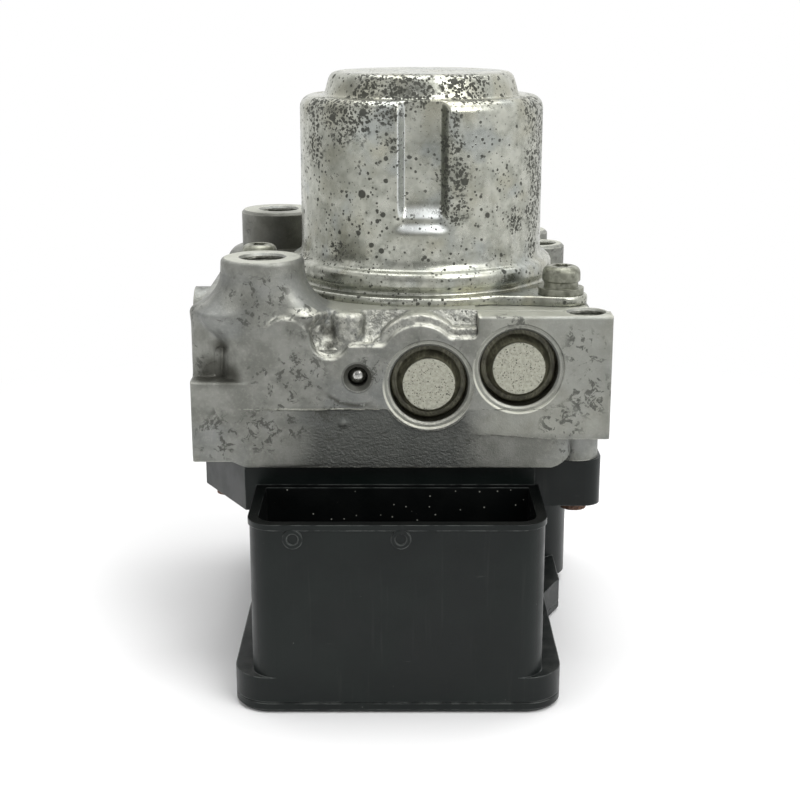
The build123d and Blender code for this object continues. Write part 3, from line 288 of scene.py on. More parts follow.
    def slab(self, axis: Axis, low: float, high: float, soft: float = 0.2) -> object:
        """Mask between two planes across an axis, in millimetres, with soft borders."""
        along = self.node("SeparateXYZ", {0: self.place}, out=axis.value)
        return self.between(along, low, high, soft, Fade.SOFT)

    def box(self, *sides: tuple[Axis, float, float, float]) -> object:
        """Mask of a region: low, high and softness of its borders across some axes."""
        return self.overlap(*(self.slab(*side) for side in sides))

    def level(self, mask: object, noise: object, low: float, high: float) -> object:
        """Mask of where a soft mask and half a noise together rise from one level to another."""
        both = self.node("Math", {0: noise, 1: 0.5, 2: mask}, operation="MULTIPLY_ADD")
        return self.node("MapRange", {"Value": both, "From Min": low, "From Max": high})

    def leaning(self, vector: object, way: object, low: float, high: float) -> object:
        """Mask of where a unit vector leans one way.

        Args:
            vector: The vector.
            way: The way, as a unit vector or a socket.
            low: Cosine of the angle between them where the mask starts.
            high: Cosine where it is full.

        Returns:
            A mask from 0 to 1.
        """
        lean = self.node("VectorMath", {0: vector, 1: way}, out="Value", operation="DOT_PRODUCT")
        links = {"Value": lean, "From Min": low, "From Max": high}
        return self.node("MapRange", links, interpolation_type=Fade.SOFT.value)

    def facing(self, way: Triple, low: float, high: float) -> object:
        """Mask of faces that look one way, between two cosines."""
        return self.leaning(self.normal, way, low, high)

    def from_line(self, x: float, z: float) -> bpy.types.NodeSocket:
        """Vector to each point from a line along Y through a point given in millimetres."""
        flat = self.node("VectorMath", {0: self.place, 1: (1.0, 0.0, 1.0)}, operation="MULTIPLY")
        return self.node("VectorMath", {0: flat, 1: (x * MM, 0.0, z * MM)}, operation="SUBTRACT")

    def radial(self, x: float, z: float) -> bpy.types.NodeSocket:
        """Distance in metres from a line along Y through a point given in millimetres."""
        return self.node("VectorMath", {0: self.from_line(x, z)}, out="Value", operation="LENGTH")

    def band(self, x: float, z: float, inner: float, outer: float, soft: float = 0.1) -> object:
        """Mask of a ring in the front plane, between two radii in millimetres."""
        return self.between(self.radial(x, z), inner, outer, soft, Fade.STRAIGHT)

    def toward(self, x: float, z: float, way: Triple, low: float, high: float) -> object:
        """Mask of the side of a line along Y that lies one way from it, between two cosines."""
        out = self.node("VectorMath", {0: self.from_line(x, z)}, operation="NORMALIZE")
        return self.leaning(out, way, low, high)

    def turned(self, x: float, z: float, pitch: float) -> bpy.types.NodeSocket:
        """Fine rings of a facing cut round a line along Y.

        Args:
            x: Place of the line in millimetres.
            z: Height of the line in millimetres.
            pitch: Distance between the rings in millimetres.

        Returns:
            A mask from 0 to 1.
        """
        links = {"W": self.radial(x, z), "Scale": 1 / (pitch * MM), "Detail": 2.0}
        noise = self.node("TexNoise", links, noise_dimensions="1D")
        return self.node("MapRange", {"Value": noise, "From Min": 0.35, "From Max": 0.65})

    def edges(self, radius: float, low: float = 0.004, high: float = 0.05) -> object:
        """Mask of the solid's edges, as wide as a bevel of that radius in millimetres."""
        bevel = self.node("Bevel", {"Radius": radius * MM}, samples=6)
        return self.leaning(bevel, self.normal, 1 - low, 1 - high)

    def relief(self, rounding: float, *layers: tuple[object, float]) -> bpy.types.NodeSocket:
        """Normal of the solid with rounded edges and bumps on it.

        Args:
            rounding: Radius of the edges in millimetres.
            layers: Height pattern and depth in millimetres of each layer of bumps.

        Returns:
            The normal.
        """
        normal = self.node("Bevel", {"Radius": rounding * MM}, samples=6)
        for height, depth in layers:
            links = {"Height": height, "Distance": depth * MM, "Normal": normal}
            normal = self.node("Bump", links)
        return normal


def fresh(owner: bpy.types.ID) -> Field:
    """Empties the node tree of a material or world and measures masks for it.

    Args:
        owner: The material or world.

    Returns:
        The masks of its tree.
    """
    owner.use_nodes = True
    owner.node_tree.nodes.clear()
    return Field(owner.node_tree)


# ---------------------------------------------------------------- finishes
@dataclass(frozen=True)
class Finish(ABC):
    """A surface as its maker leaves it, with what use has done to it."""

    name: str

    def material(self) -> bpy.types.Material:
        """The finish's material, made once."""
        known = bpy.data.materials.get(self.name)
        if known is not None:
            return known
        made = bpy.data.materials.new(self.name)
        field = fresh(made)
        shader = field.node("BsdfPrincipled", self.surface(field))
        field.node("OutputMaterial", {"Surface": shader})
        return made

    @abstractmethod
    def surface(self, field: Field) -> dict[str, object]:
        """What feeds each socket of the shader.

        Args:
            field: The masks of the material's tree.

        Returns:
            Sockets, numbers and hex colours, by the name of the shader's input.
        """


@dataclass(frozen=True)
class DrawnZincSteel(Finish):
    """Deep-drawn steel, zinc plated: a soft satin mirror, stained, with dark rust specks, and
    painted highlight and shade in its flute.
    """

    clean: str = "#BCBDB3"
    stained: str = "#95978D"
    warm: str = "#A3A190"
    blue: str = "#9AA0A1"
    film: str = "#62645A"
    painted_highlight: str = "#E6EAE9"
    rust: str = "#26271F"
    # Heaps of fine specks: over the shoulder, the dome's front and down the right side.
    crusts: tuple[Ball, ...] = (
        (-19.0, -26.0, 144.5, 13.0), (-4.0, -25.0, 149.5, 11.0), (12.0, -24.0, 150.0, 11.0),
        (30.0, -13.0, 142.0, 11.0), (31.0, -13.0, 131.0, 10.0), (30.5, -13.0, 119.0, 8.0),
        (24.5, -22.0, 115.0, 5.0), (29.5, -15.0, 108.0, 5.5), (7.4, -31.5, 142.0, 4.0),
        (7.6, -31.5, 136.0, 5.0), (8.0, -31.5, 128.0, 6.5), (8.4, -31.5, 119.0, 6.0),
        (-28.0, -17.0, 134.0, 7.0), (-7.0, -31.5, 136.0, 3.5), (-28.0, -17.0, 144.0, 8.0),
        (-9.0, -31.0, 144.0, 6.0), (-14.0, -21.0, 150.0, 7.0), (31.5, -9.0, 139.0, 10.0),
        (31.0, -11.0, 125.0, 9.0), (29.5, -14.0, 116.0, 8.0), (-31.5, -11.0, 102.0, 6.0),
        (-22.0, -24.5, 107.5, 4.0),
    )
    # Soft balls where the film darkens the plating, over the left side and the front's middle, and
    # the largest single specks.
    darkened_balls: tuple[Ball, ...] = (
        (-22.0, -24.0, 130.0, 17.0), (-25.0, -21.0, 113.0, 14.0), (7.6, -31.0, 128.0, 8.0),
        (3.0, -31.0, 136.0, 9.0),
    )
    blots: tuple[Ball, ...] = (
        (-15.6, -29.1, 122.9, 1.25), (-9.4, -31.6, 132.2, 0.7), (-9.4, -31.6, 126.6, 0.7),
        (10.7, -31.2, 126.3, 1.1), (6.0, -31.4, 132.0, 0.95), (-10.2, -31.4, 117.9, 0.8),
        (-11.6, -30.9, 116.2, 0.65), (-16.6, -28.6, 112.8, 0.8), (-21.6, -25.0, 112.4, 0.65),
        (-13.2, -30.3, 109.9, 0.8), (-10.6, -31.3, 108.6, 0.85), (1.5, -33.0, 106.4, 0.55),
        (-9.0, -31.8, 103.0, 0.9),
    )
    draw: Triple = (1.0, 1.0, 0.35)  # the press leaves its lines upright
    flute_wall: Pair = (3.6, 8.0)  # how far from the middle the flute's walls stand
    flute_z: Pair = (116.0, 147.0)
    lip_z: Pair = (112.6, 121.6)
    splashed_z: Pair = (94.0, 112.0)
    rim_z: Pair = (94.9, 96.6)

    def surface(self, field: Field) -> dict[str, object]:
        """Plating, stains, specks, crusts, the faint lines of the draw, and painted highlight and
        shade in the flute.

        Args:
            field: The masks of the material's tree.

        Returns:
            What feeds each socket of the shader.
        """
        crust = field.near(self.crusts, 0.85, 2.5)
        tone = self.flute_tone(field, self.stained_tone(field, crust))
        specks = self.rust_mask(field, crust)
        links = {"Value": field.cloud(5, 0.3, 0.7), "To Min": 0.22, "To Max": 0.38}
        dull = field.node("MapRange", links)
        wave = field.cloud(7, 0.2, 0.8, 1.0, self.draw)
        return {
            "Base Color": field.paint(tone, self.rust, specks, 0.9),
            "Metallic": field.node("MapRange", {"Value": specks, "To Min": 0.94, "To Max": 0.1}),
            "Roughness": field.node(
                "Math", {0: specks, 1: 0.45, 2: dull}, operation="MULTIPLY_ADD"
            ),
            "Normal": field.relief(0.25, (wave, 0.05), (specks, 0.05)),
        }

    def stained_tone(self, field: Field, crust: object) -> object:
        """Plating that has clouded, with a film of dirt low down and round the crusts.

        Args:
            field: The masks of the material's tree.
            crust: Mask of the heaps of rust.

        Returns:
            The colour.
        """
        tone = field.paint(self.clean, self.stained, field.cloud(3.5, 0.36, 0.64, 6.0), 0.7)
        tone = field.paint(tone, self.warm, field.cloud(15, 0.48, 0.66, 2.0), 0.6)
        tone = field.paint(tone, self.film, field.near(self.darkened_balls, 0.9), 0.42)
        tone = field.paint(tone, self.blue, field.cloud(12, 0.52, 0.7, 2.0), 0.5)
        filmed = field.union(
            field.overlap(field.cloud(14, 0.42, 0.6, 3.0), 0.42),
            field.overlap(field.slab(Axis.Z, *self.splashed_z, 6.0), 0.55),
            crust,
        )
        patchy = field.cloud(1.5, 0.44, 0.64, 9.0, warp=0.4)
        return field.paint(tone, self.film, patchy, filmed, 0.62)

    def flute_tone(self, field: Field, tone: object) -> object:
        """Painted highlight on the flute's lip and left wall, and painted shade in the film's
        colour on its right wall.

        Args:
            field: The masks of the material's tree.
            tone: Colour below.

        Returns:
            The colour.
        """
        # Painted highlight: the lip that faces up is made near white.
        lip = field.facing((0.0, -0.35, 0.94), 0.45, 0.85)
        tone = field.paint(tone, self.painted_highlight, lip, field.slab(Axis.Z, *self.lip_z, 0.5), 0.9)
        tall = field.slab(Axis.Z, *self.flute_z, 1.0)
        # Painted highlight on the left wall and painted shade on the right wall, chosen by the way
        # each wall faces.
        for side, colour, share in ((-1, self.painted_highlight, 0.7), (1, self.film, 0.75)):
            wall = field.slab(Axis.X, *sorted(side * x for x in self.flute_wall))
            inward = field.facing((-0.8 * side, -0.6, 0.0), 0.86, 0.97)
            tone = field.paint(tone, colour, inward, wall, tall, share)
        return tone

    def rust_mask(self, field: Field, crust: object) -> object:
        """Specks of rust: heaps, dust, middling spots, the flange's rim and single blots.

        Args:
            field: The masks of the material's tree.
            crust: Mask of the heaps of rust.

        Returns:
            A mask that is 1 in the specks.
        """
        # Corrosion grit is under 0.3 mm across; drawn at 0.8 mm and up, the finest that shows.
        grit = field.union(
            field.spots(0.7, 0.48, 0.8, 0.3),
            field.spots(1.2, 0.74, 0.5, 0.4),
            field.spots(2.6, 1.1, 0.35, 0.5),
        )
        heap = field.overlap(grit, field.level(crust, field.cloud(2.4, 0.3, 0.7, 4.0), 0.5, 0.75))
        busy = field.union(field.cloud(8, 0.42, 0.56, 3.0), crust)
        fine = field.overlap(field.spots(1.1, 0.44, 0.6, 0.2), busy)
        dust = field.overlap(field.spots(0.7, 0.2, 0.5, 0.08), field.cloud(5, 0.42, 0.6, 3.0))
        rim = field.overlap(field.spots(1.3, 0.55, 0.5, 0.2), field.slab(Axis.Z, *self.rim_z, 0.4))
        middle = field.union(field.spots(4.0, 0.85, 0.4, 0.35), field.spots(2.4, 0.55, 0.4, 0.2))
        blots = field.near(self.blots, 0.25, 0.25)
        return field.union(fine, dust, middle, heap, rim, blots)


@dataclass(frozen=True)
class CastAluminium(Finish):
    """Die-cast aluminium: satin grey skin with dark oxide patches, bright machined faces, painted
    highlights on ledges, edges and round the bores, and painted shade in hollows.
    """

    skin: str = "#8D8E88"
    dull: str = "#777872"
    cool: str = "#7D8184"
    rough: str = "#575956"
    oxide: str = "#3F403A"
    wear_and_highlight: str = "#BDBDB3"
    machined: str = "#AEAFA4"
    lit: str = "#DEDED2"
    grime_and_shade: str = "#36352C"
    # Where the oxide has eaten in: on the inlet's boss, the pad, the left block and the right side.
    attacked: tuple[Ball, ...] = (
        (-43.5, -46.5, 98.0, 9.0), (-38.0, -46.5, 101.0, 6.0), (-31.0, FRONT, 80.0, 9.0),
        (-36.0, FRONT, 75.0, 6.0), (-52.0, FRONT, 63.5, 8.0), (-41.0, FRONT, 65.0, 8.0),
        (-33.0, FRONT, 67.5, 6.0), (41.0, FRONT, 86.0, 7.0), (42.0, FRONT, 75.0, 8.0),
        (35.0, FRONT, 67.0, 7.0), (22.0, FRONT, 93.5, 6.0), (-57.0, -40.0, 94.0, 5.0),
    )
    # Hollows with dirt and painted shade: in the left wall, beside the rib and before the rear
    # boss.
    shaded_hollows: tuple[Ball, ...] = (
        (-53.0, -42.5, 79.0, 7.0), (-55.0, -45.0, 78.4, 5.0), (-49.5, -46.0, 78.6, 5.0),
        (-51.0, -43.0, 86.0, 3.2), (-23.9, -45.0, 90.6, 2.9), (-23.6, -46.2, 87.0, 2.0),
        (-13.5, -45.5, 91.0, 2.4), (-42.4, 28.0, 103.0, 14.0), (-36.0, 28.0, 98.0, 10.0),
    )
    # Regions of the casting: the pad's lighter right half, the recessed lower front that fades out
    # towards the left block, the slope behind the pad, the ledges that take a painted highlight,
    # and the milled tops of the bosses and of the body.
    lighter_right_pad: Box = (
        (Axis.X, 16.0, 48.0, 6.0),
        (Axis.Y, -49.0, -48.1, 0.1),
        (Axis.Z, 64.0, 95.0, 1.0),
    )
    low_front: Box = (
        (Axis.Z, 40.0, 70.8, 0.3),
        (Axis.X, -30.0, 12.0, 5.0),
        (Axis.Y, -49.0, -46.0, 0.3),
    )
    slope: Box = (
        (Axis.X, -33.0, 14.0, 0.5),
        (Axis.Y, -47.3, -38.0, 0.2),
        (Axis.Z, 83.5, 95.2, 0.3),
    )
    ledges: Box = (
        (Axis.Y, -48.8, -44.5, 0.2),
        (Axis.Z, 82.0, 96.5, 0.4),
        (Axis.X, -42.0, 14.5, 0.4),
    )
    boss_tops: Box = ((Axis.Z, 100.0, 120.0, 0.2),)
    body_top: Box = ((Axis.Z, 94.4, 96.0, 0.2), (Axis.X, -36.0, 60.0, 3.0))
    # A scar: an arc of a ring, given by its x and z and its two radii, within a ball.
    scar_ring: tuple[Pair, Pair] = ((-16.5, 84.4), (11.95, 12.95))
    scar_place: Ball = (-19.0, FRONT, 72.8, 6.5)
    ball_sink: float = 3.65  # radius of the pit that holds the ball
    ball_rim: Pair = (3.6, 4.1)
    bore_r: float = 9.95
    land: Pair = (10.4, 11.3)  # radii of the flat step round a bore
    shaded_upper_edge: Pair = (11.35, 11.6)
    # Inner and outer radius of each painted highlight on a step's lower side, and its strength.
    highlight_rings: tuple[Triple, ...] = ((11.25, 11.75, 0.95), (10.05, 10.45, 0.6))

    def surface(self, field: Field) -> dict[str, object]:
        """Skin, machined lands, the coarse lower front, oxide, worn edges that also serve as
        painted highlights, painted highlights and shade, and bore grime with painted shade.

        Args:
            field: The masks of the material's tree.

        Returns:
            What feeds each socket of the shader.
        """
        low, slope = field.box(*self.low_front), field.box(*self.slope)
        milled = field.union(field.box(*self.boss_tops), field.box(*self.body_top))
        top = field.overlap(field.facing((0, 0, 1), 0.9, 1.0), milled)
        oxide = self.oxide_mask(field, slope, top)
        tone = field.paint(self.skin_tone(field, low, slope, top), self.oxide, oxide, 0.86)
        tone = self.ring_tone(field, self.sunk_tone(field, tone))
        # The lower front's skin is like orange peel, with bumps about a millimetre long.
        peel = field.cloud(0.7, 0.3, 0.7, 3.0, (0.85, 1.0, 1.1))
        lumps = field.overlap(field.cloud(1.9, 0.3, 0.7, 3.0), slope)
        fine = field.cloud(0.42, 0.3, 0.7, 3.0)
        links = {"Value": field.cloud(4, 0.3, 0.7), "To Min": 0.42, "To Max": 0.54}
        peel = field.overlap(peel, low)
        return {
            "Base Color": field.paint(tone, self.grime_and_shade, self.bore_mask(field)),
            "Metallic": field.node("MapRange", {"Value": oxide, "To Min": 0.75, "To Max": 0.2}),
            "Roughness": field.node("MapRange", links),
            "Normal": field.relief(
                0.45, (fine, 0.028), (peel, 0.12), (lumps, 0.28), (oxide, -0.04)
            ),
        }

    def skin_tone(self, field: Field, low: object, slope: object, top: object) -> object:
        """The cast skin with its lighter, coarse, milled and worn parts, and painted highlights on
        the ledges, edges and slope.

        Args:
            field: The masks of the material's tree.
            low: Mask of the lower front.
            slope: Mask of the slope behind the pad.
            top: Mask of the milled tops.

        Returns:
            The colour.
        """
        tone = field.paint(self.skin, self.dull, field.cloud(8, 0.36, 0.64))
        tone = field.paint(tone, self.cool, field.cloud(19, 0.5, 0.66, 2.0), 0.3)
        tone = field.paint(tone, self.wear_and_highlight, field.cloud(0.7, 0.48, 0.72), 0.14)
        # The pad's right half painted lighter.
        tone = field.paint(tone, self.machined, field.box(*self.lighter_right_pad), 0.36)
        tone = field.paint(tone, self.rough, low, 0.85)
        # Light patches on the slope: partly wear, partly painted highlight on its lumps.
        tone = field.paint(tone, self.wear_and_highlight, slope, field.cloud(1.6, 0.42, 0.62, 6.0), 0.6)
        tone = field.paint(tone, self.machined, top, 0.9)
        # Painted highlight on the ledges whose faces look up towards the lamps.
        up = field.facing((0.0, -0.45, 0.89), 0.6, 0.92)
        patchy = field.cloud(2.2, 0.36, 0.5, 3.0)
        tone = field.paint(tone, self.lit, up, field.box(*self.ledges), patchy, 0.6)
        # Bright worn edges, which also stand for painted highlights on the rounded edges.
        return field.paint(tone, self.wear_and_highlight, field.edges(0.5), field.cloud(3, 0.35, 0.55), 0.75)

    def oxide_mask(self, field: Field, slope: object, top: object) -> object:
        """Dark oxide: patches where it has eaten in, single spots, and specks up above.

        Args:
            field: The masks of the material's tree.
            slope: Mask of the slope behind the pad.
            top: Mask of the milled tops.

        Returns:
            A mask that is 1 in the oxide.
        """
        patch = field.overlap(
            field.cloud(2.6, 0.535, 0.575, 9.0, warp=0.8), field.cloud(0.8, 0.36, 0.5, 4.0)
        )
        where = field.union(field.near(self.attacked, 0.5), field.cloud(13, 0.56, 0.66, 2.0))
        specks = field.overlap(
            field.spots(0.9, 0.32, 0.5, 0.12),
            field.union(slope, field.overlap(top, 0.35)),
            field.cloud(5, 0.42, 0.56, 3.0),
        )
        return field.union(field.overlap(patch, where), field.spots(5.5, 0.32, 0.25, 0.1), specks)

    def sunk_tone(self, field: Field, tone: object) -> object:
        """Dirt and painted shade in the hollows and in the pit round the ball, and a dark scar.

        Args:
            field: The masks of the material's tree.
            tone: Colour below.

        Returns:
            The colour.
        """
        scar = field.overlap(
            field.band(*self.scar_ring[0], *self.scar_ring[1], 0.35),
            field.near((self.scar_place,), 0.35, 0.6),
            field.cloud(1.1, 0.32, 0.46, 5.0),
        )
        # Painted shade: the pit round the ball is darkened out to its edge.
        pit = field.overlap(
            field.band(*BALL_HOLE, -1.0, self.ball_sink, 0.2),
            field.slab(Axis.Y, -48.42, -38.0, 0.05),
        )
        tone = field.paint(tone, self.oxide, field.band(*BALL_HOLE, *self.ball_rim), 0.45)
        # Painted shade, with some dirt, in the hollows, the scar and the pit.
        return field.paint(
            tone, self.grime_and_shade, field.union(field.near(self.shaded_hollows, 0.7), scar, pit), 0.7
        )

    def ring_tone(self, field: Field, tone: object) -> object:
        """Painted highlights on the lower edges and painted shade on the upper edges of the
        machined steps round the bores.

        Args:
            field: The masks of the material's tree.
            tone: Colour below.

        Returns:
            The colour.
        """
        for x, z in BORES:
            lower = field.toward(x, z, (-0.35, 0.0, -0.94), 0.05, 0.75)
            upper = field.toward(x, z, (0.5, 0.0, 0.87), 0.1, 0.8)
            # Painted highlights on the lower side, where the steps face up.
            for inner, outer, share in self.highlight_rings:
                tone = field.paint(tone, self.lit, field.band(x, z, inner, outer), lower, share)
            tone = field.paint(tone, self.machined, field.band(x, z, *self.land, 0.2), 0.35)
            # Painted shade, in the oxide's colour, on the upper edge.
            tone = field.paint(tone, self.oxide, field.band(x, z, *self.shaded_upper_edge), upper, 0.7)
        return tone

    def bore_mask(self, field: Field) -> object:
        """Grime and painted shade inside the plugged bores, off the machined steps round their
        mouths.
        """
        rings = [field.band(x, z, -1.0, self.bore_r, 0.05) for x, z in BORES]
        sides = [field.slab(Axis.Y, low, low + 48.0, 0.1) for low in (-48.0, 0.0)]
        return field.overlap(field.union(*rings), field.union(*sides))


@dataclass(frozen=True)
class TurnedPlug(Finish):
    """Turned steel plug, its face pitted and its deep groove full of oily dirt, darkened further by
    painted shade.
    """

    face: str = "#B4B4A5"
    dull: str = "#96968A"
    pit: str = "#3E3E35"
    grime_and_shade: str = "#4B4A3C"
    lit: str = "#85836E"
    shelf: float = 47.4  # distance from the motor axis where the clean face starts

    def surface(self, field: Field) -> dict[str, object]:
        """Light pitted face over a dark groove with the rings of the tool.

        Args:
            field: The masks of the material's tree.

        Returns:
            What feeds each socket of the shader.
        """
        tone = field.paint(self.face, self.dull, field.cloud(0.8, 0.36, 0.64, 5.0), 0.8)
        # Pits are about 0.1 mm across; drawn at 0.3 mm, the finest that shows.
        pits = field.union(
            field.spots(0.55, 0.17, 0.62, 0.08),
            field.spots(0.9, 0.24, 0.5, 0.12),
            field.spots(1.9, 0.32, 0.4, 0.15),
        )
        tone = field.paint(tone, self.pit, pits, field.cloud(2.2, 0.3, 0.6, 3.0), 0.85)
        # The sunk face behind the shelf: oily dirt and painted shade.
        sides = ((-self.shelf, 0.0), (0.0, self.shelf))
        groove_dirt_and_shade = field.union(*(field.slab(Axis.Y, *side, 0.2) for side in sides))
        rings = field.overlap(
            field.union(*(field.turned(x, z, 0.7) for x, z in BORES)),
            field.cloud(3, 0.35, 0.6, 3.0),
        )
        tone = field.paint(tone, field.paint(self.grime_and_shade, self.lit, rings, 0.7), groove_dirt_and_shade)
        return {
            "Base Color": tone,
            "Metallic": field.node("MapRange", {"Value": groove_dirt_and_shade, "To Min": 0.7, "To Max": 0.25}),
            "Roughness": field.node("MapRange", {"Value": pits, "To Min": 0.42, "To Max": 0.7}),
            "Normal": field.relief(0.35, (pits, -0.05)),
        }


@dataclass(frozen=True)
class MouldedNylon(Finish):
    """Glass-filled nylon, moulded: charcoal with a satin sheen, faint scuffs with painted
    highlights on the edges, grey dust, and painted shade in the socket and on its brim.
    """

    body: str = "#0E1513"
    deep: str = "#0A100F"
    dust: str = "#3D3E3B"
    scuff_and_highlight: str = "#747875"
    speck: str = "#A5A69E"
    inner: str = "#050606"
    socket: Box = (
        (Axis.X, -40.9, 27.9, 0.2),
        (Axis.Y, -73.2, -46.4, 0.2),
        (Axis.Z, 15.0, 49.2, 0.2),
    )
    shaded_brim: Box = ((Axis.Z, 48.6, 51.0, 0.2), (Axis.Y, -80.0, -44.0, 0.5))

    def surface(self, field: Field) -> dict[str, object]:
        """Charcoal with scuffs and painted edge highlights, dust on what faces up, painted shade in
        the socket and on its brim, and light specks in the socket.

        Args:
            field: The masks of the material's tree.

        Returns:
            What feeds each socket of the shader.
        """
        tone = field.paint(self.body, self.deep, field.cloud(24, 0.35, 0.65, 2.0))
        up = field.facing((0, 0, 1), 0.5, 0.95)
        tone = field.paint(tone, self.dust, up, field.cloud(5, 0.4, 0.7), 0.5)
        scratch = field.cloud(2.5, 0.66, 0.74, 6.0, (0.25, 1.0, 1.4))
        tone = field.paint(tone, self.dust, scratch, 0.3)
        flow = field.cloud(1.4, 0.58, 0.8, 2.0, (1.0, 1.0, 0.05))
        tone = field.paint(tone, self.dust, flow, 0.12)
        # Scuffs on the edges, which also serve as painted highlights.
        tone = field.paint(tone, self.scuff_and_highlight, field.edges(0.4), field.cloud(4, 0.4, 0.6), 0.5)
        tone = field.paint(tone, self.speck, field.spots(4.0, 0.16, 0.3), 0.8)
        # Painted shade: the inside of the socket and the brim's upward faces made near black.
        inside = field.box(*self.socket)
        shaded_brim = field.overlap(up, field.box(*self.shaded_brim))
        tone = field.paint(tone, self.inner, field.union(inside, shaded_brim), 0.9)
        links = {"Value": field.cloud(9, 0.3, 0.7), "To Min": 0.32, "To Max": 0.44}
        sheen = {"Value": shaded_brim, "To Min": 0.26, "To Max": 0.08}
        return {
            "Base Color": field.paint(tone, self.speck, field.spots(1.6, 0.22, 0.4), inside),
            "Roughness": field.node("MapRange", links),
            "Specular IOR Level": field.node("MapRange", sheen),
            "Normal": field.relief(0.45, (field.cloud(0.5, 0.3, 0.7, 2.0), 0.008)),
        }


class Grain(Enum):
    """How a plain finish is broken up: how closely its marks pack along each axis."""

    CAST = (1.0, 1.0, 1.0)
    TURNED = (1.0, 1.0, 6.0)
    DRAWN = (1.0, 1.0, 0.2)
    WOUND = (0.1, 0.1, 9.0)


@dataclass(frozen=True)
class WorkedMetal(Finish):
    """Plain metal or filled plastic of an inner or small piece, with the grain of its making."""

    light: str
    dark: str
    metallic: float
    roughness: float
    grain: Grain = Grain.CAST
    size: float = 1.2
    depth: float = 0.02
    stain: str = "#4A463C"
    stains: float = 0.0

    def surface(self, field: Field) -> dict[str, object]:
        """Two tones in the grain's direction, a light relief, and stains where it has them.

        Args:
            field: The masks of the material's tree.

        Returns:
            What feeds each socket of the shader.
        """
        marks = field.cloud(self.size, 0.35, 0.65, 4.0, self.grain.value)
        tone = field.paint(self.light, self.dark, marks)
        tone = field.paint(tone, self.stain, field.cloud(2.6, 0.5, 0.62, 6.0), self.stains)
        links = {"Value": marks, "To Min": self.roughness - 0.06, "To Max": self.roughness + 0.08}
        return {
            "Base Color": tone,
            "Metallic": self.metallic,
            "Roughness": field.node("MapRange", links),
            "Normal": field.relief(0.25, (marks, self.depth)),
        }


CAN = DrawnZincSteel("zinc_plated_drawn_steel")
BODY = CastAluminium("die_cast_aluminium")
PLUG = TurnedPlug("turned_steel_plug")
NYLON = MouldedNylon("moulded_glass_filled_nylon")
COVER_NYLON = MouldedNylon("moulded_nylon_cover", body="#101614", deep="#0B100F")
# Cold-headed and zinc plated, dulled by oil: an even warm grey.
FLANGE_SCREW = WorkedMetal(
    "dulled_zinc_screw_steel", "#96978A", "#7D7E72", 0.75, 0.42, size=2.0, depth=0.03,
    stain="#55564A", stains=0.6,
)
# The same steel with its plating gone: matt red brown, rough with rust.
RUSTED_SCREW = WorkedMetal(
    "rusted_screw_steel", "#76594A", "#523D33", 0.15, 0.8, size=0.8, depth=0.08,
    stain="#8A6247", stains=0.6,
)
# Lapped to a mirror: one hard bright dot.
POLISHED_BALL = WorkedMetal("polished_ball_steel", "#C4C4C0", "#9A9A94", 1.0, 0.18)
# Cylindrically ground: bright, with fine rings round the axis.
GROUND_STEEL = WorkedMetal("ground_bearing_steel", "#B2B4B4", "#9A9C9C", 1.0, 0.25, Grain.TURNED)
# Pressed from sheet and plated: a soft sheen drawn out along the press's stroke.
PRESSED_STEEL = WorkedMetal("pressed_zinc_steel", "#A8AAA4", "#8F918A", 0.9, 0.38, Grain.DRAWN)
# Drawn through a die and coiled: dark, with a dull gleam along the wire.
SPRING_WIRE = WorkedMetal("drawn_spring_wire", "#6E7072", "#55575A", 0.9, 0.4, Grain.DRAWN)
# Anodised: pale and a little greenish, softer than bare metal.
PISTON_ALUMINIUM = WorkedMetal("anodised_piston_aluminium", "#A3A8A2", "#8C918B", 0.8, 0.4)
# Enamelled and wound: glossy red brown in fine close turns.
COPPER_WIRE = WorkedMetal(
    "enamelled_copper_wire", "#A4582F", "#7C3F20", 0.8, 0.3, Grain.WOUND, 0.9, 0.2
)
# Drawn bar, turned bright by the brushes: orange with fine rings.
COPPER_BAR = WorkedMetal("drawn_copper_bar", "#B87848", "#9A6038", 0.95, 0.32, Grain.TURNED)
# Stamped brass with a coat of tin: pale yellow white, bright.
TINNED = WorkedMetal("tinned_contact_brass", "#C9C2A6", "#AFA78A", 0.95, 0.3)
# Moulded rubber: black and matt.
RUBBER = WorkedMetal("moulded_seal_rubber", "#1E1F1F", "#161717", 0.0, 0.7)
# Glass cloth in resin under a lacquer: dark green with a gloss.
FIBREGLASS = WorkedMetal("solder_masked_fibreglass", "#1F4A30", "#183C27", 0.0, 0.35, size=3.0)
# Filled epoxy from a mould: black grey with a fine dull skin.
EPOXY = WorkedMetal("moulded_epoxy", "#262627", "#1D1D1E", 0.0, 0.55, size=0.6)
# Sintered ceramic: dark grey, matt and slightly grainy.
FERRITE = WorkedMetal("sintered_ferrite", "#3A3A3C", "#2C2C2E", 0.1, 0.6, size=0.7)
# Pressed carbon powder: near black with a faint silky shine.
CARBON = WorkedMetal("pressed_brush_carbon", "#2B2A29", "#201F1F", 0.2, 0.6, size=0.5)
# Filled phenolic resin: brown black, satin.
PHENOLIC = WorkedMetal("moulded_phenolic", "#3A3836", "#2F2D2C", 0.0, 0.5, size=0.8)
# Stacked stampings: steel grey in thin layers.
LAMINATION = WorkedMetal(
    "stamped_silicon_steel", "#6A6B6D", "#505254", 0.85, 0.45, Grain.WOUND, 0.5
)
# Torn flash of the casting: lighter than its skin, broken by dark stains.
SEAM_METAL = WorkedMetal(
    "broken_flash_aluminium", "#9FA097", "#7C7D75", 0.75, 0.45, size=1.5,
    stain="#4A4B44", stains=0.8,
)
# Tapped in the casting: bright flanks with dirt in the roots.
THREAD_METAL = WorkedMetal(
    "cut_thread_aluminium", "#8E8F86", "#63645C", 0.8, 0.42, Grain.TURNED, 0.9, 0.03,
    stain="#3A3A32", stains=0.7,
)


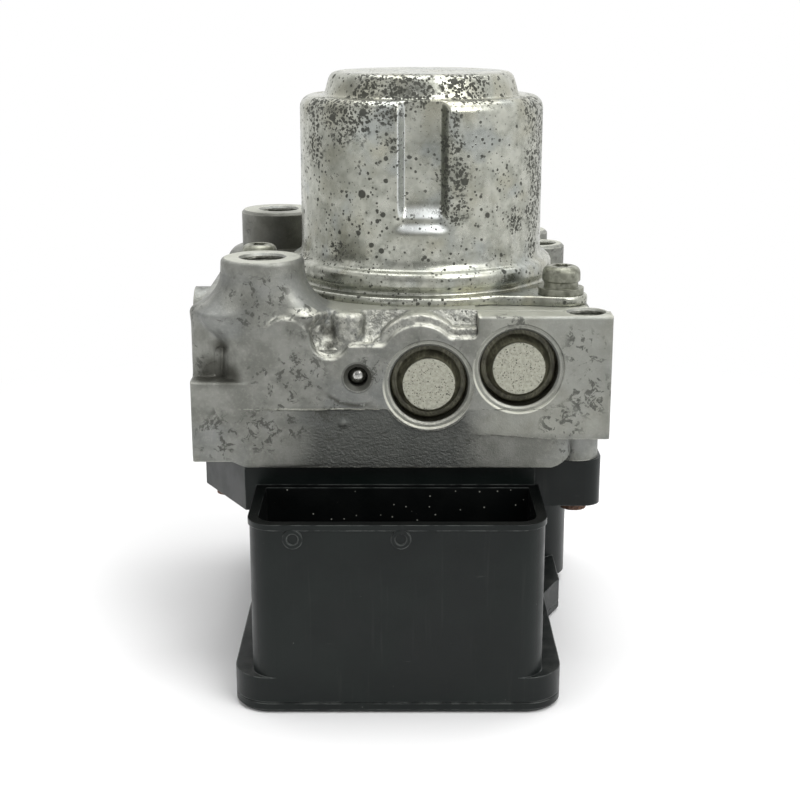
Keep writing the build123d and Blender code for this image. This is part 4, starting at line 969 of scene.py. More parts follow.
# ---------------------------------------------------------------- meshes
def placed(name: str, data: bpy.types.ID) -> bpy.types.Object:
    """Puts new data into the scene as an object of the same name."""
    made = bpy.data.objects.new(name, data)
    bpy.context.scene.collection.objects.link(made)
    return made


def mesh_data(name: str, mesh: bmesh.types.BMesh, material: bpy.types.Material) -> bpy.types.Mesh:
    """Turns a built mesh into data of one material, and frees it."""
    data = bpy.data.meshes.new(name)
    mesh.to_mesh(data)
    mesh.free()
    data.materials.append(material)
    return data


def piece(
    name: str,
    mesh: bmesh.types.BMesh,
    finish: Finish,
    soft: bool = True,
    body: str = "module",
) -> bpy.types.Object:
    """Turns a built mesh into a piece of the module.

    Args:
        name: The piece's name.
        mesh: The geometry in metres, which is freed.
        finish: What it is made of.
        soft: Whether its faces are shaded smooth.
        body: Rigid body that it rides on.

    Returns:
        The new object.
    """
    bmesh.ops.recalc_face_normals(mesh, faces=mesh.faces)
    data = mesh_data(name, mesh, finish.material())
    if soft:
        data.shade_smooth()
    made = placed(name, data)
    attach(made, body)
    log.info("%s: %d faces of %s", name, len(data.polygons), finish.name)
    return made


def polar(x: float, y: float, radius: float, turn: float, z: float) -> Vector:
    """A point in metres, by its radius and angle round an upright line, in millimetres."""
    return Vector((x + radius * math.cos(turn), y + radius * math.sin(turn), z)) * MM


def grid_mesh(
    rows: list[list[Vector]], closed: bool = True, mesh: bmesh.types.BMesh | None = None
) -> bmesh.types.BMesh:
    """Skins rows of points that hold the same number each.

    Args:
        rows: Points of each row in metres.
        closed: Whether each row's last point joins its first.
        mesh: Mesh that takes the skin, where it isn't a new one.

    Returns:
        The mesh.
    """
    mesh = mesh or bmesh.new()
    lines = [[mesh.verts.new(point) for point in row] for row in rows]
    for low, high in zip(lines, lines[1:]):
        count = len(low)
        for i in range(count if closed else count - 1):
            j = (i + 1) % count
            mesh.faces.new((low[i], low[j], high[j], high[i]))
    return mesh


def take_out(mesh: bmesh.types.BMesh, gone: Callable[[Vector], bool]) -> None:
    """Takes out the faces whose middle, in millimetres, passes a test."""
    faces = [face for face in mesh.faces if gone(face.calc_center_median() / MM)]
    bmesh.ops.delete(mesh, geom=faces, context="FACES")


def dress(finish: Finish, *nodes: str) -> None:
    """Gives CAD nodes their finish.

    Args:
        finish: The finish.
        nodes: Names of the nodes.
    """
    for name in nodes:
        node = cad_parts[name]
        if not node.material_slots:
            node.data.materials.append(None)
        for held in node.material_slots:
            held.material = finish.material()
        log.info("%s: finished as %s", name, finish.name)


@dataclass
class InnerThread:
    """Thread of a port, cut in the wall of its bore. The pitch is drawn as the real one."""

    x: float
    y: float
    top: float
    radius: float
    pitch: float = 1.0
    depth: float = 0.52
    turns: int = 10
    start: float = 0.9  # below the mouth
    steps: int = 40
    # The ridge's section: share of the depth, and share of the pitch along the bore.
    profile: tuple[Pair, ...] = ((-0.04, 0.48), (1.0, 0.08), (1.0, -0.08), (-0.04, -0.48))

    def build(self, name: str) -> bpy.types.Object:
        """A ridge that winds down the bore and fades out at both ends.

        Args:
            name: The piece's name.

        Returns:
            The new piece.
        """
        rows = []
        total = self.turns * self.steps
        for i in range(total + 1):
            turn = 2 * math.pi * i / self.steps
            fade = min(1.0, i / self.steps, (total - i) / self.steps)
            z = self.top - self.start - self.pitch * i / self.steps
            row = []
            for inward, along in self.profile:
                radius = self.radius - inward * self.depth * (fade if inward > 0 else 1.0)
                row.append(polar(self.x, self.y, radius, turn, z + along * self.pitch))
            rows.append(row)
        return piece(name, grid_mesh(rows, closed=False), THREAD_METAL)


@dataclass
class LobedRecess:
    """Six-lobe drive recess that lines the round hollow in a screw's head."""

    x: float
    y: float
    top: float
    radius: float = 2.6
    lobe: float = 0.34
    root: float = 2.12
    depth: float = 2.45
    crisp: float = 0.15  # height of the straight wall under the edge
    taper: float = 0.96
    middle: float = 0.1
    steps: int = 72

    def build(self, name: str) -> bpy.types.Object:
        """The land round the lobes, their wall and the floor.

        Args:
            name: The piece's name.

        Returns:
            The new piece.
        """
        turns = [2 * math.pi * i / self.steps for i in range(self.steps)]
        lobes = [self.root + self.lobe * math.cos(6 * turn) for turn in turns]
        rings = (
            ([self.radius] * self.steps, 0.0),
            (lobes, 0.0),
            (lobes, self.crisp),
            ([radius * self.taper for radius in lobes], self.depth),
            ([self.middle] * self.steps, self.depth),
        )
        rows = [
            [polar(self.x, self.y, r, turn, self.top - down) for r, turn in zip(radii, turns)]
            for radii, down in rings
        ]
        return piece(name, grid_mesh(rows), FLANGE_SCREW, soft=False)


def smoothstep(value: np.ndarray | float, low: float, high: float) -> np.ndarray | float:
    """Smooth step between two limits, which may run downwards."""
    share = np.clip((value - low) / (high - low), 0.0, 1.0)
    return share * share * (3 - 2 * share)


def join(first: np.ndarray, second: np.ndarray, blend: float) -> np.ndarray:
    """Distance to two solids run into each other with a cast radius.

    Args:
        first: Distance to the first solid.
        second: Distance to the second solid.
        blend: Width of the transition.

    Returns:
        Distance to both.
    """
    share = np.maximum(blend - np.abs(first - second), 0.0) / blend
    return np.minimum(first, second) - share * share * blend / 4


def cut(first: np.ndarray, second: np.ndarray, blend: float) -> np.ndarray:
    """Distance to what two solids share, with the edge between them rounded by the blend."""
    return -join(-first, -second, blend)


def net_mesh(values: np.ndarray, low: Triple, step: float) -> bmesh.types.BMesh:
    """Skins the zero level of a distance that is known on a regular grid.

    Args:
        values: Distances, negative inside the solid.
        low: Place of the grid's first point in millimetres.
        step: Spacing of the grid in millimetres.

    Returns:
        The new mesh, open where the solid leaves the grid.
    """
    cells = tuple(n - 1 for n in values.shape)
    total = np.zeros(cells + (3,))
    count = np.zeros(cells)
    corners = [(i, j, k) for i in (0, 1) for j in (0, 1) for k in (0, 1)]
    for a in corners:
        for axis in range(3):
            if a[axis]:
                continue
            b = tuple(a[m] + (m == axis) for m in range(3))
            near = values[tuple(slice(a[m], a[m] + cells[m]) for m in range(3))]
            far = values[tuple(slice(b[m], b[m] + cells[m]) for m in range(3))]
            crossed = (near < 0) != (far < 0)
            share = np.where(crossed, near / np.where(crossed, near - far, 1.0), 0.0)
            for m in range(3):
                total[..., m] += crossed * (a[m] + share * (m == axis))
            count += crossed
    held = count > 0
    number = np.full(cells, -1)
    number[held] = np.arange(int(held.sum()))
    points = (total[held] / count[held][:, None] + np.argwhere(held)) * step + np.array(low)
    mesh = bmesh.new()
    verts = [mesh.verts.new(Vector(p) * MM) for p in points.tolist()]
    inside = values < 0
    for axis in range(3):
        one, two = [m for m in range(3) if m != axis]
        ends = [slice(None)] * 3
        starts = [slice(None)] * 3
        ends[axis] = slice(1, None)
        starts[axis] = slice(None, -1)
        crossed = inside[tuple(starts)] != inside[tuple(ends)]
        for place in np.argwhere(crossed).tolist():
            ring = []
            for back_one, back_two in ((1, 1), (0, 1), (0, 0), (1, 0)):
                cell = list(place)
                cell[one] -= back_one
                cell[two] -= back_two
                if min(cell) < 0 or any(cell[m] >= cells[m] for m in range(3)):
                    break
                ring.append(verts[number[tuple(cell)]])
            if len(ring) == 4 and len(set(ring)) == 4:
                mesh.faces.new(ring)
    return mesh


@dataclass
class CastingFront:
    """Skin of the casting's front, where bosses, arches and ledges run into each other.

    Bosses are given by x, y and radius, arches by x, z and radius, bumps by place and radius. A
    pair of blends holds the rounding of the form's own edges and its run into the wall.
    """

    low: Triple = (-59.6, -49.4, 54.2)
    high: Triple = (14.4, -30.0, 105.4)
    step: float = 0.4
    proud: float = 0.06  # how far the skin stands off the solid that carries it
    left_x: float = -58.8
    core_y: float = -41.5
    top_z: float = 94.8
    ledge_z: float = 77.8
    corner_round: float = 3.0
    top_round: float = 1.6
    boss: Triple = (-40.9, -36.0, 10.6)
    boss_top: float = 107.9
    boss_draft: float = 1.7
    boss_sunk: float = 2.0
    boss_blend: Pair = (0.5, 2.6)
    flare: Pair = (6.35, 9.0)  # reach and height of the boss's foot
    flare_foot: float = 85.0
    flare_side: Pair = (0.35, 0.8)  # sines between which the foot starts to spread
    lobe: Triple = (-53.9, -38.4, 4.75)
    lobe_top: float = 96.1
    lobe_blend: Pair = (2.6, 2.0)
    rib: Triple = (-18.8, -43.1, 4.1)
    rib_top: float = 95.0
    rib_blend: Pair = (1.8, 1.0)
    mound: Ball = (-27.6, -43.0, 90.6, 2.6)
    mound_blend: float = 2.0
    lump: Ball = (-20.4, -47.9, 67.1, 0.9)
    lump_blend: float = 0.5
    groove: Triple = (-50.8, -41.5, 2.2)
    groove_top: float = 84.0
    groove_round: float = 1.2
    slope_left: float = -33.0
    slope_top: float = 93.6
    slope_foot: Pair = (-46.6, 86.0)
    slope_blend: Pair = (1.0, 1.6)
    slope_end: float = 0.5
    tier_y: float = -47.1
    tier_out: float = 2.2
    tier_run: Pair = (-13.6, -9.8)  # x between which the second tier grows out of the pad
    tier_blend: Pair = (0.9, 0.7)
    pad_blend: Pair = (1.1, 0.7)
    skirt_sink: float = 0.6
    skirt_run: Pair = (-40.0, -22.0)  # x between which the lower front sinks in
    parting: float = 0.3  # half the height over which it sinks in under the parting line
    foot_z: float = 57.0
    foot_drop: float = 1.7
    foot_run: Pair = (-50.0, -44.8)
    foot_round: float = 1.0
    pump_arch: Triple = (-0.8, 83.0, 9.8)
    port_arch: Triple = (-34.5, 88.0, 6.4)
    valley: Triple = (-23.4, 88.6, 4.6)
    shelf_z: float = 89.4
    saddle_z: float = 87.4
    block_x: float = -43.5  # where the ledge of the left block ends
    outline_end: Pair = (20.0, 40.0)  # x and z of the outline's closing corners
    stride: float = 0.02
    # Where the solid itself shows: behind and right of the skin, at its ends, at the ball and
    # right of the ball inside the pump bore's ring and under the arch.
    shown_y: float = -30.6
    shown_x: float = 13.3
    shown_z: Pair = (55.4, 104.0)
    shown_right: Pair = (-12.0, 84.0)
    ball_r: float = 3.75
    ball_y: float = -48.0
    ring_r: float = 12.5

    def height(self, x: float) -> float:
        """Height of the pad's upper outline over one place.

        Args:
            x: The place in millimetres.

        Returns:
            The height in millimetres.
        """
        z = self.shelf_z if x > self.pump_arch[0] else self.saddle_z
        if x < self.port_arch[0]:
            z = self.port_arch[1]
        for cx, cz, radius in (self.pump_arch, self.port_arch):
            if abs(x - cx) < radius:
                z = max(z, cz + math.sqrt(radius**2 - (x - cx) ** 2))
        cx, cz, radius = self.valley
        if abs(x - cx) < radius:
            z = min(z, cz - math.sqrt(radius**2 - (x - cx) ** 2))
        return z

    def outline(self, spacing: float = 0.45, blend: int = 2) -> list[Pair]:
        """Corners of the pad's area, its upper outline at even distances and eased.

        Args:
            spacing: Distance between corners of the upper outline in millimetres.
            blend: How many corners on each side a corner is averaged with.

        Returns:
            The x and z of each corner in millimetres.
        """
        line = [(self.port_arch[0] - self.port_arch[2] + 0.02, self.port_arch[1])]
        x = line[0][0]
        end_x, end_z = self.outline_end
        while x < end_x:
            x += self.stride
            point = (x, self.height(x))
            gap = math.dist(point, line[-1])
            if gap >= spacing:
                last = line[-1]
                for i in range(1, int(gap / spacing) + 1):
                    share = i / int(gap / spacing)
                    line.append(tuple(last[k] + (point[k] - last[k]) * share for k in (0, 1)))
        eased = []
        for i in range(len(line)):
            span = line[max(0, i - blend) : i + blend + 1]
            eased.append(tuple(sum(p[k] for p in span) / len(span) for k in (0, 1)))
        ends = [(end_x, end_z), (self.left_x, end_z), (self.left_x, self.ledge_z)]
        return eased + ends + [(self.block_x, self.ledge_z)]

    def outline_distance(self, x: np.ndarray, z: np.ndarray) -> np.ndarray:
        """Distance of points in the front plane to the pad's outline.

        Args:
            x: The points' places in millimetres.
            z: Their heights.

        Returns:
            The distances, negative inside the outline.
        """
        corners = self.outline()
        away = np.full(x.shape, 1e9)
        inside = np.zeros(x.shape, dtype=bool)
        for (ax, az), (bx, bz) in zip(corners, corners[1:] + corners[:1]):
            span = max((bx - ax) ** 2 + (bz - az) ** 2, 1e-12)
            share = np.clip(((x - ax) * (bx - ax) + (z - az) * (bz - az)) / span, 0.0, 1.0)
            gap = np.hypot(x - ax - share * (bx - ax), z - az - share * (bz - az))
            away = np.minimum(away, gap)
            if az != bz:
                over = ((az > z) != (bz > z)) & (x < (bx - ax) * (z - az) / (bz - az) + ax)
                inside ^= over
        return np.where(inside, -away, away)

    def boss_distance(self, x: np.ndarray, y: np.ndarray, z: np.ndarray) -> np.ndarray:
        """Distance of the grid's points to the inlet's boss with its spreading foot.

        Args:
            x: The points' places in millimetres.
            y: Their depths.
            z: Their heights.

        Returns:
            The distances, negative inside.
        """
        drop = (self.boss_top - z) / (self.boss_top - self.ledge_z)
        radius = self.boss[2] + self.boss_draft * drop
        reach, rise = self.flare
        cove = reach * (1 - np.clip((z - self.top_z) / rise, 0.0, 1.0)) ** 2
        away = np.hypot(x - self.boss[0], y - self.boss[1]) + 1e-6
        # The foot spreads to the sides only: the pad stands in front of it.
        sideways = smoothstep(np.abs(x - self.boss[0]) / away, *self.flare_side)
        sideways = np.where(y > self.boss[1], 1.0, sideways)
        radius += cove * sideways * smoothstep(z, self.flare_foot, self.top_z)
        return cut(away - radius, self.ledge_z - self.boss_sunk - z, self.boss_blend[0])

    def slope_distance(self, x: np.ndarray, y: np.ndarray, z: np.ndarray) -> np.ndarray:
        """Distance of the grid's points to the slope that rises from the pad to the top.

        Args:
            x: The points' places in millimetres.
            y: Their depths.
            z: Their heights.

        Returns:
            The distances, negative inside.
        """
        run = Vector((self.slope_foot[0] - self.core_y, self.slope_foot[1] - self.slope_top))
        run.normalize()
        slope = (y - self.core_y) * run.y - (z - self.slope_top) * run.x
        slope = cut(slope, self.slope_foot[0] - y, self.slope_blend[0])
        return cut(slope, np.maximum(self.slope_left - x, z - self.top_z), self.slope_end)

    def distance(self) -> np.ndarray:
        """Distance of every point of the grid to the casting, form by form."""
        axes = [np.arange(self.low[m], self.high[m] + self.step / 2, self.step) for m in range(3)]
        x, y, z = np.meshgrid(*axes, indexing="ij")
        body = cut(self.left_x - x, self.core_y - y, self.corner_round)
        body = cut(body, z - self.top_z, self.top_round)
        body = join(body, self.boss_distance(x, y, z), self.boss_blend[1])
        lobe = np.hypot(x - self.lobe[0], y - self.lobe[1]) - self.lobe[2]
        body = join(body, cut(lobe, z - self.lobe_top, self.lobe_blend[0]), self.lobe_blend[1])
        down = np.maximum(z - self.groove_top, 0.0)
        groove = np.sqrt((x - self.groove[0]) ** 2 + (y - self.groove[1]) ** 2 + down**2)
        body = cut(body, self.groove[2] - groove, self.groove_round)
        body = join(body, self.slope_distance(x, y, z), self.slope_blend[1])
        for bump, blend in ((self.mound, self.mound_blend), (self.lump, self.lump_blend)):
            away = np.sqrt((x - bump[0]) ** 2 + (y - bump[1]) ** 2 + (z - bump[2]) ** 2)
            body = join(body, away - bump[3], blend)
        rib = np.hypot(x - self.rib[0], y - self.rib[1]) - self.rib[2]
        body = join(body, cut(rib, z - self.rib_top, self.rib_blend[0]), self.rib_blend[1])
        flat = self.outline_distance(x[:, 0, :], z[:, 0, :])[:, None, :] + 0 * y
        tier = flat - self.tier_out * smoothstep(x, *self.tier_run)
        tier = cut(tier, self.tier_y - y, self.tier_blend[0])
        body = join(body, tier, self.tier_blend[1])
        below = smoothstep(z, PARTING_Z + self.parting, PARTING_Z - self.parting)
        sink = self.skirt_sink * smoothstep(x, *self.skirt_run) * below
        body = join(body, cut(flat, FRONT + sink - y, self.pad_blend[0]), self.pad_blend[1])
        foot = self.foot_z - self.foot_drop * smoothstep(x, *self.foot_run)
        return cut(body, foot - z, self.foot_round) - self.proud

    def spare(self, place: Vector) -> bool:
        """Whether a point lies where the solid itself shows.

        Args:
            place: The point in millimetres.

        Returns:
            True where the skin has to be left out.
        """
        x, y, z = place
        if y > self.shown_y or x > self.shown_x or not self.shown_z[0] <= z <= self.shown_z[1]:
            return True
        if y < self.ball_y and math.dist((x, z), BALL_HOLE) < self.ball_r:
            return True
        in_ring = math.dist((x, z), PUMP_BORE) < self.ring_r
        return x > self.shown_right[0] and (in_ring or z < self.shown_right[1])

    def build(self) -> bpy.types.Object:
        """The skin, without what the solid shows better."""
        mesh = net_mesh(self.distance(), self.low, self.step)
        take_out(mesh, self.spare)
        return piece("casting_front", mesh, BODY)


@dataclass
class PadRamp:
    """Skin that lets the pad's lower right corner run out softly into the lower front."""

    x_range: Pair = (-4.0, 16.4)
    z_range: Pair = (64.15, 71.3)
    step: float = 0.4
    corner_sum: float = 80.2  # x plus z along the corner it covers
    run: float = 8.5
    proud: float = 0.05
    depth: float = 0.64
    ring_r: float = 12.4

    def build(self) -> bpy.types.Object:
        """A grid that stands proud at the corner and sinks away from it."""
        rows = []
        z = self.z_range[0]
        while z < self.z_range[1]:
            row = []
            x = self.x_range[0]
            while x < self.x_range[1]:
                sink = self.depth * smoothstep(self.corner_sum - x - z, 0.0, self.run)
                row.append(Vector((x, FRONT - self.proud + sink, z)) * MM)
                x += self.step
            rows.append(row)
            z += self.step
        mesh = grid_mesh(rows, closed=False)
        take_out(mesh, lambda place: math.dist((place.x, place.z), PUMP_BORE) < self.ring_r)
        return piece("pad_ramp", mesh, BODY)


@dataclass
class FootBlend:
    """Hollow between the lower front and the boss of the control unit's front screw."""

    low: float = 55.35
    rise: float = 3.2
    high: float = 63.2
    rise_run: Pair = (33.0, 5.6)  # where its lower edge starts to rise, and over what length
    rows: int = 10
    plan: tuple[Pair, ...] = (
        (28.0, -47.94), (31.0, -47.95), (33.2, -47.96), (34.6, -47.8), (35.9, -47.3), (37.0, -46.4),
        (37.8, -45.2), (38.3, -43.6), (38.6, -41.0),
    )

    def build(self) -> bpy.types.Object:
        """An upright curved strip whose lower edge rises towards the screw."""
        rows = []
        start, length = self.rise_run
        for i in range(self.rows + 1):
            row = []
            for x, y in self.plan:
                low = self.low + self.rise * max(0.0, (x - start) / length) ** 1.5
                row.append(Vector((x, y, low + (self.high - low) * i / self.rows)) * MM)
            rows.append(row)
        return piece("foot_blend", grid_mesh(rows, closed=False), BODY)


@dataclass
class PartingSeam:
    """Ragged flash line that the die's halves left across the front."""

    start: float = -47.0
    end: float = 33.0
    step: float = 0.6
    reach: float = 48.54  # distance from the motor axis to the face it stands on
    sunk: float = 0.05
    ring_r: float = 12.4
    thick: Triple = (0.05, 0.15, 0.34)  # least, first and most
    wander: float = 0.07
    trimmed: Pair = (-12.0, 0.12)  # right of which place it is trimmed, and to what
    lift: float = 0.2
    waver: float = 0.06
    facets: int = 6
    seed: int = 4

    def build(self) -> bpy.types.Object:
        """A thin bead whose thickness wanders, left out where a bore's ring crosses it."""
        luck = random.Random(self.seed)
        strips: list[list[list[Vector]]] = [[]]
        x = self.start
        least, thick, most = self.thick
        lift = 0.0
        while x < self.end:
            if abs(x - PUMP_BORE[0]) < self.ring_r:
                strips.append([])
                x += self.step
                continue
            thick = min(most, max(least, thick + luck.uniform(-self.wander, self.wander)))
            if x > self.trimmed[0]:
                thick = min(thick, self.trimmed[1])
            lift += luck.uniform(-self.waver, self.waver)
            lift = min(self.lift, max(-self.lift, lift))
            row = []
            for i in range(self.facets + 1):
                turn = math.pi * i / self.facets
                y = -self.reach - thick * math.sin(turn) + self.sunk
                row.append(Vector((x, y, PARTING_Z + lift + thick * math.cos(turn))) * MM)
            strips[-1].append(row)
            x += self.step
        mesh = bmesh.new()
        for rows in strips:
            grid_mesh(rows, closed=False, mesh=mesh)
        return piece("parting_seam", mesh, SEAM_METAL)


@dataclass
class DrawnCan:
    """The motor's can as it comes off the press: flange with ears, bead, pressed flutes, dome.

    Each ear is a disc on a web of the flange, which narrows from its root outwards.
    """

    flange_r: float = 38.0
    ear_r: float = 7.1
    web_half: float = 17.0  # half its width at the root
    web_root: float = 32.3  # how far from the axis the root lies
    web_side: float = 0.2  # cosine between a direction and the ear past which they can meet
    wall_r: float = 33.0
    shoulder: float = 146.5
    shoulder_r: float = 3.4
    around: int = 720
    ease: int = 6  # how many steps on each side the flange's outline is averaged over
    # How far back from the flange's outline each row of its rim lies, and its height.
    rim: tuple[Pair, ...] = (
        (4.0, 94.82), (0.35, 94.82), (0.05, 95.1), (0.0, 95.6), (0.0, 96.5), (0.12, 96.95),
        (0.5, 97.25), (1.1, 97.3),
    )
    # Radius and height along the section, from the flange up to the wall.
    foot: tuple[Pair, ...] = (
        (35.9, 97.3), (35.35, 97.45), (35.1, 97.9), (35.15, 98.5), (35.55, 98.95), (36.0, 99.4),
        (36.1, 100.1), (36.1, 101.0), (36.05, 101.9), (35.75, 102.6), (35.2, 103.1), (34.5, 103.4),
        (34.0, 103.65), (33.6, 104.1), (33.25, 104.8), (33.05, 105.6), (33.0, 106.6),
    )
    dome: tuple[Pair, ...] = (
        (29.0, 146.5), (27.6, 146.45), (26.8, 146.6), (26.3, 147.1), (26.0, 148.0), (25.6, 149.5),
        (25.2, 150.7), (24.9, 151.4), (24.4, 152.0), (23.6, 152.45), (22.6, 152.65), (21.0, 152.7),
        (17.0, 152.66), (12.0, 152.5), (6.0, 152.4), (0.3, 152.4),
    )
    # Height, and the share of the flute's full depth that it has there.
    flute: tuple[Pair, ...] = (
        (113.0, 0.0), (113.9, 0.10), (114.8, 0.30), (115.6, 0.42), (116.9, 0.46), (117.8, 0.62),
        (119.4, 0.88), (120.6, 0.98), (122.0, 1.0),
    )
    flute_floor: float = 29.7  # distance from the axis to the flute's flat floor
    flute_half: float = 4.3  # half the floor's width, then of the mouth and of its lower lip
    flute_mouth: float = 7.0
    flute_lip: float = 10.0
    lip_height: float = 5.0
    wall_foot: float = 107.4
    wall_steps: Pair = (0.45, 1.2)  # between rows of the wall, up to the flute's foot and above
    fine_top: float = 123.0
    arc_steps: int = 8

    def section(self) -> list[Pair]:
        """Radius and height of every row of the body, from the flange to the dome's middle."""
        rows = list(self.foot)
        z = self.wall_foot
        fine, coarse = self.wall_steps
        while z < self.shoulder - self.shoulder_r:
            rows.append((self.wall_r, z))
            z += fine if z < self.fine_top else coarse
        for i in range(self.arc_steps + 1):
            turn = math.pi / 2 * i / self.arc_steps
            radius = self.wall_r - self.shoulder_r * (1 - math.cos(turn))
            rows.append((radius, self.shoulder - self.shoulder_r * (1 - math.sin(turn))))
        return rows + list(self.dome)

    def sunk(self, x: float, y: float, z: float) -> Vector:
        """Where a point of the round wall ends up once the flute is pressed in.

        Args:
            x: The point's place in millimetres.
            y: Its depth.
            z: Its height.

        Returns:
            The point in metres.
        """
        foot = self.flute[0][0]
        if abs(y) < self.flute_floor or z < foot:
            return Vector((x, y, z)) * MM
        share = 1.0
        for (z0, s0), (z1, s1) in zip(self.flute, self.flute[1:]):
            if z0 <= z < z1:
                share = s0 + (s1 - s0) * (z - z0) / (z1 - z0)
        lip = max(0.0, 1 - (z - foot) / self.lip_height)
        mouth = self.flute_mouth + (self.flute_lip - self.flute_mouth) * lip
        across = smoothstep(abs(x), mouth, self.flute_half)
        floor = math.copysign(self.flute_floor, y)
        return Vector((x, y + (floor - y) * share * across, z)) * MM

    def reach(self, turn: float) -> float:
        """How far the flange with its ears and webs reaches in one direction from the axis.

        Args:
            turn: The direction's angle.

        Returns:
            The reach in millimetres.
        """
        way = Vector((math.cos(turn), math.sin(turn)))
        far = self.flange_r
        for ear in EARS:
            place = Vector(ear)
            out = place.normalized()
            side = Vector((-out.y, out.x))
            along = way.dot(place)
            off = place.length_squared - along**2
            if along > 0 and off < self.ear_r**2:
                far = max(far, along + math.sqrt(self.ear_r**2 - off))
            u, v = way.dot(out), abs(way.dot(side))
            if u > self.web_side:
                taper = (self.web_half - self.ear_r) / (place.length - self.web_root)
                edge = (self.web_half + taper * self.web_root) / (v + taper * u)
                if self.web_root <= edge * u <= place.length:
                    far = max(far, edge)
        return far

    def build(self) -> bpy.types.Object:
        """The whole pressing as one skin, in place of the plain solid."""
        turns = [2 * math.pi * i / self.around for i in range(self.around)]
        reach = [self.reach(turn) for turn in turns]
        count, near = self.around, range(-self.ease, self.ease + 1)
        eased = [sum(reach[(i + k) % count] for k in near) / len(near) for i in range(count)]
        rows = [
            [polar(0.0, 0.0, out - back, turn, z) for turn, out in zip(turns, eased)]
            for back, z in self.rim
        ]
        for radius, z in self.section():
            row = [self.sunk(radius * math.cos(turn), radius * math.sin(turn), z) for turn in turns]
            rows.append(row)
        made = piece("drawn_motor_can", grid_mesh(rows), CAN)
        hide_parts("motor_can")
        return made


# ---------------------------------------------------------------- sub-assemblies
@dataclass
class Motor:
    """The pump motor: its can, screws and everything that turns in it."""

    screw_top: float = 104.5

    def build(self) -> None:
        """Dresses the solids and lines the screws' drive recesses."""
        DrawnCan().build()
        dress(FLANGE_SCREW, "motor_screws")
        dress(RUBBER, "motor_gasket")
        dress(FERRITE, "magnets")
        dress(PRESSED_STEEL, "bearing_retainer")
        dress(GROUND_STEEL, "lower_bearing", "upper_bearing", "motor_shaft", "eccentric_ring")
        dress(PHENOLIC, "brush_plate", "lead_tube")
        dress(CARBON, "brush_left", "brush_right")
        dress(SPRING_WIRE, "brush_spring_left", "brush_spring_right")
        dress(TINNED, "motor_leads")
        dress(LAMINATION, "rotor_core")
        dress(COPPER_WIRE, "rotor_winding")
        dress(COPPER_BAR, "commutator")
        for number, (x, y) in enumerate(EARS, 1):
            LobedRecess(x, y, self.screw_top).build(f"drive_recess_{number}")


@dataclass
class ValveBody:
    """The cast valve body, its plugs, ports and valves."""

    inlets: tuple[Triple, ...] = ((-40.9, -36.0, 107.9), (-42.4, 38.0, 110.2))
    outlets: tuple[Triple, ...] = (
        (41.4, -41.8, 94.8), (35.7, 29.5, 101.2), (31.8, 41.4, 103.5), (11.0, 44.6, 103.5),
    )
    inlet_thread: tuple[float, int] = (5.5, 13)  # radius and number of turns
    outlet_thread: tuple[float, int] = (4.5, 8)

    def build(self) -> None:
        """Dresses the solids and cuts the ports' threads."""
        dress(BODY, "valve_body")
        for place in ("front", "rear"):
            dress(PLUG, f"pump_plug_{place}", f"accumulator_plug_{place}")
            dress(GROUND_STEEL, f"pump_plunger_{place}", f"pump_sleeve_{place}")
            dress(SPRING_WIRE, f"pump_spring_{place}", f"accumulator_spring_{place}")
            dress(PISTON_ALUMINIUM, f"accumulator_piston_{place}")
        dress(POLISHED_BALL, "bore_balls")
        dress(GROUND_STEEL, "inlet_valves", "outlet_valves")
        dress(GROUND_STEEL, *(f"valve_armature_{i}" for i in range(1, 9)))
        for form in (CastingFront(), PadRamp(), FootBlend(), PartingSeam()):
            form.build()
        for kind, ports, (radius, turns) in (
            ("inlet", self.inlets, self.inlet_thread),
            ("outlet", self.outlets, self.outlet_thread),
        ):
            for number, (x, y, top) in enumerate(ports, 1):
                InnerThread(x, y, top, radius, turns=turns).build(f"{kind}_thread_{number}")


@dataclass
class ControlUnit:
    """The moulded control unit under the valve body."""

    def build(self) -> None:
        """Dresses the solids."""
        dress(NYLON, "ecu_housing")
        dress(COVER_NYLON, "ecu_cover")
        dress(RUBBER, "cover_seal", "body_seal")
        dress(FIBREGLASS, "circuit_board")
        dress(EPOXY, "board_parts")
        dress(TINNED, "socket_contacts", "coil_leads")
        dress(RUSTED_SCREW, "unit_screws")
        dress(PRESSED_STEEL, "coil_yokes")
        dress(COPPER_WIRE, "coil_windings")


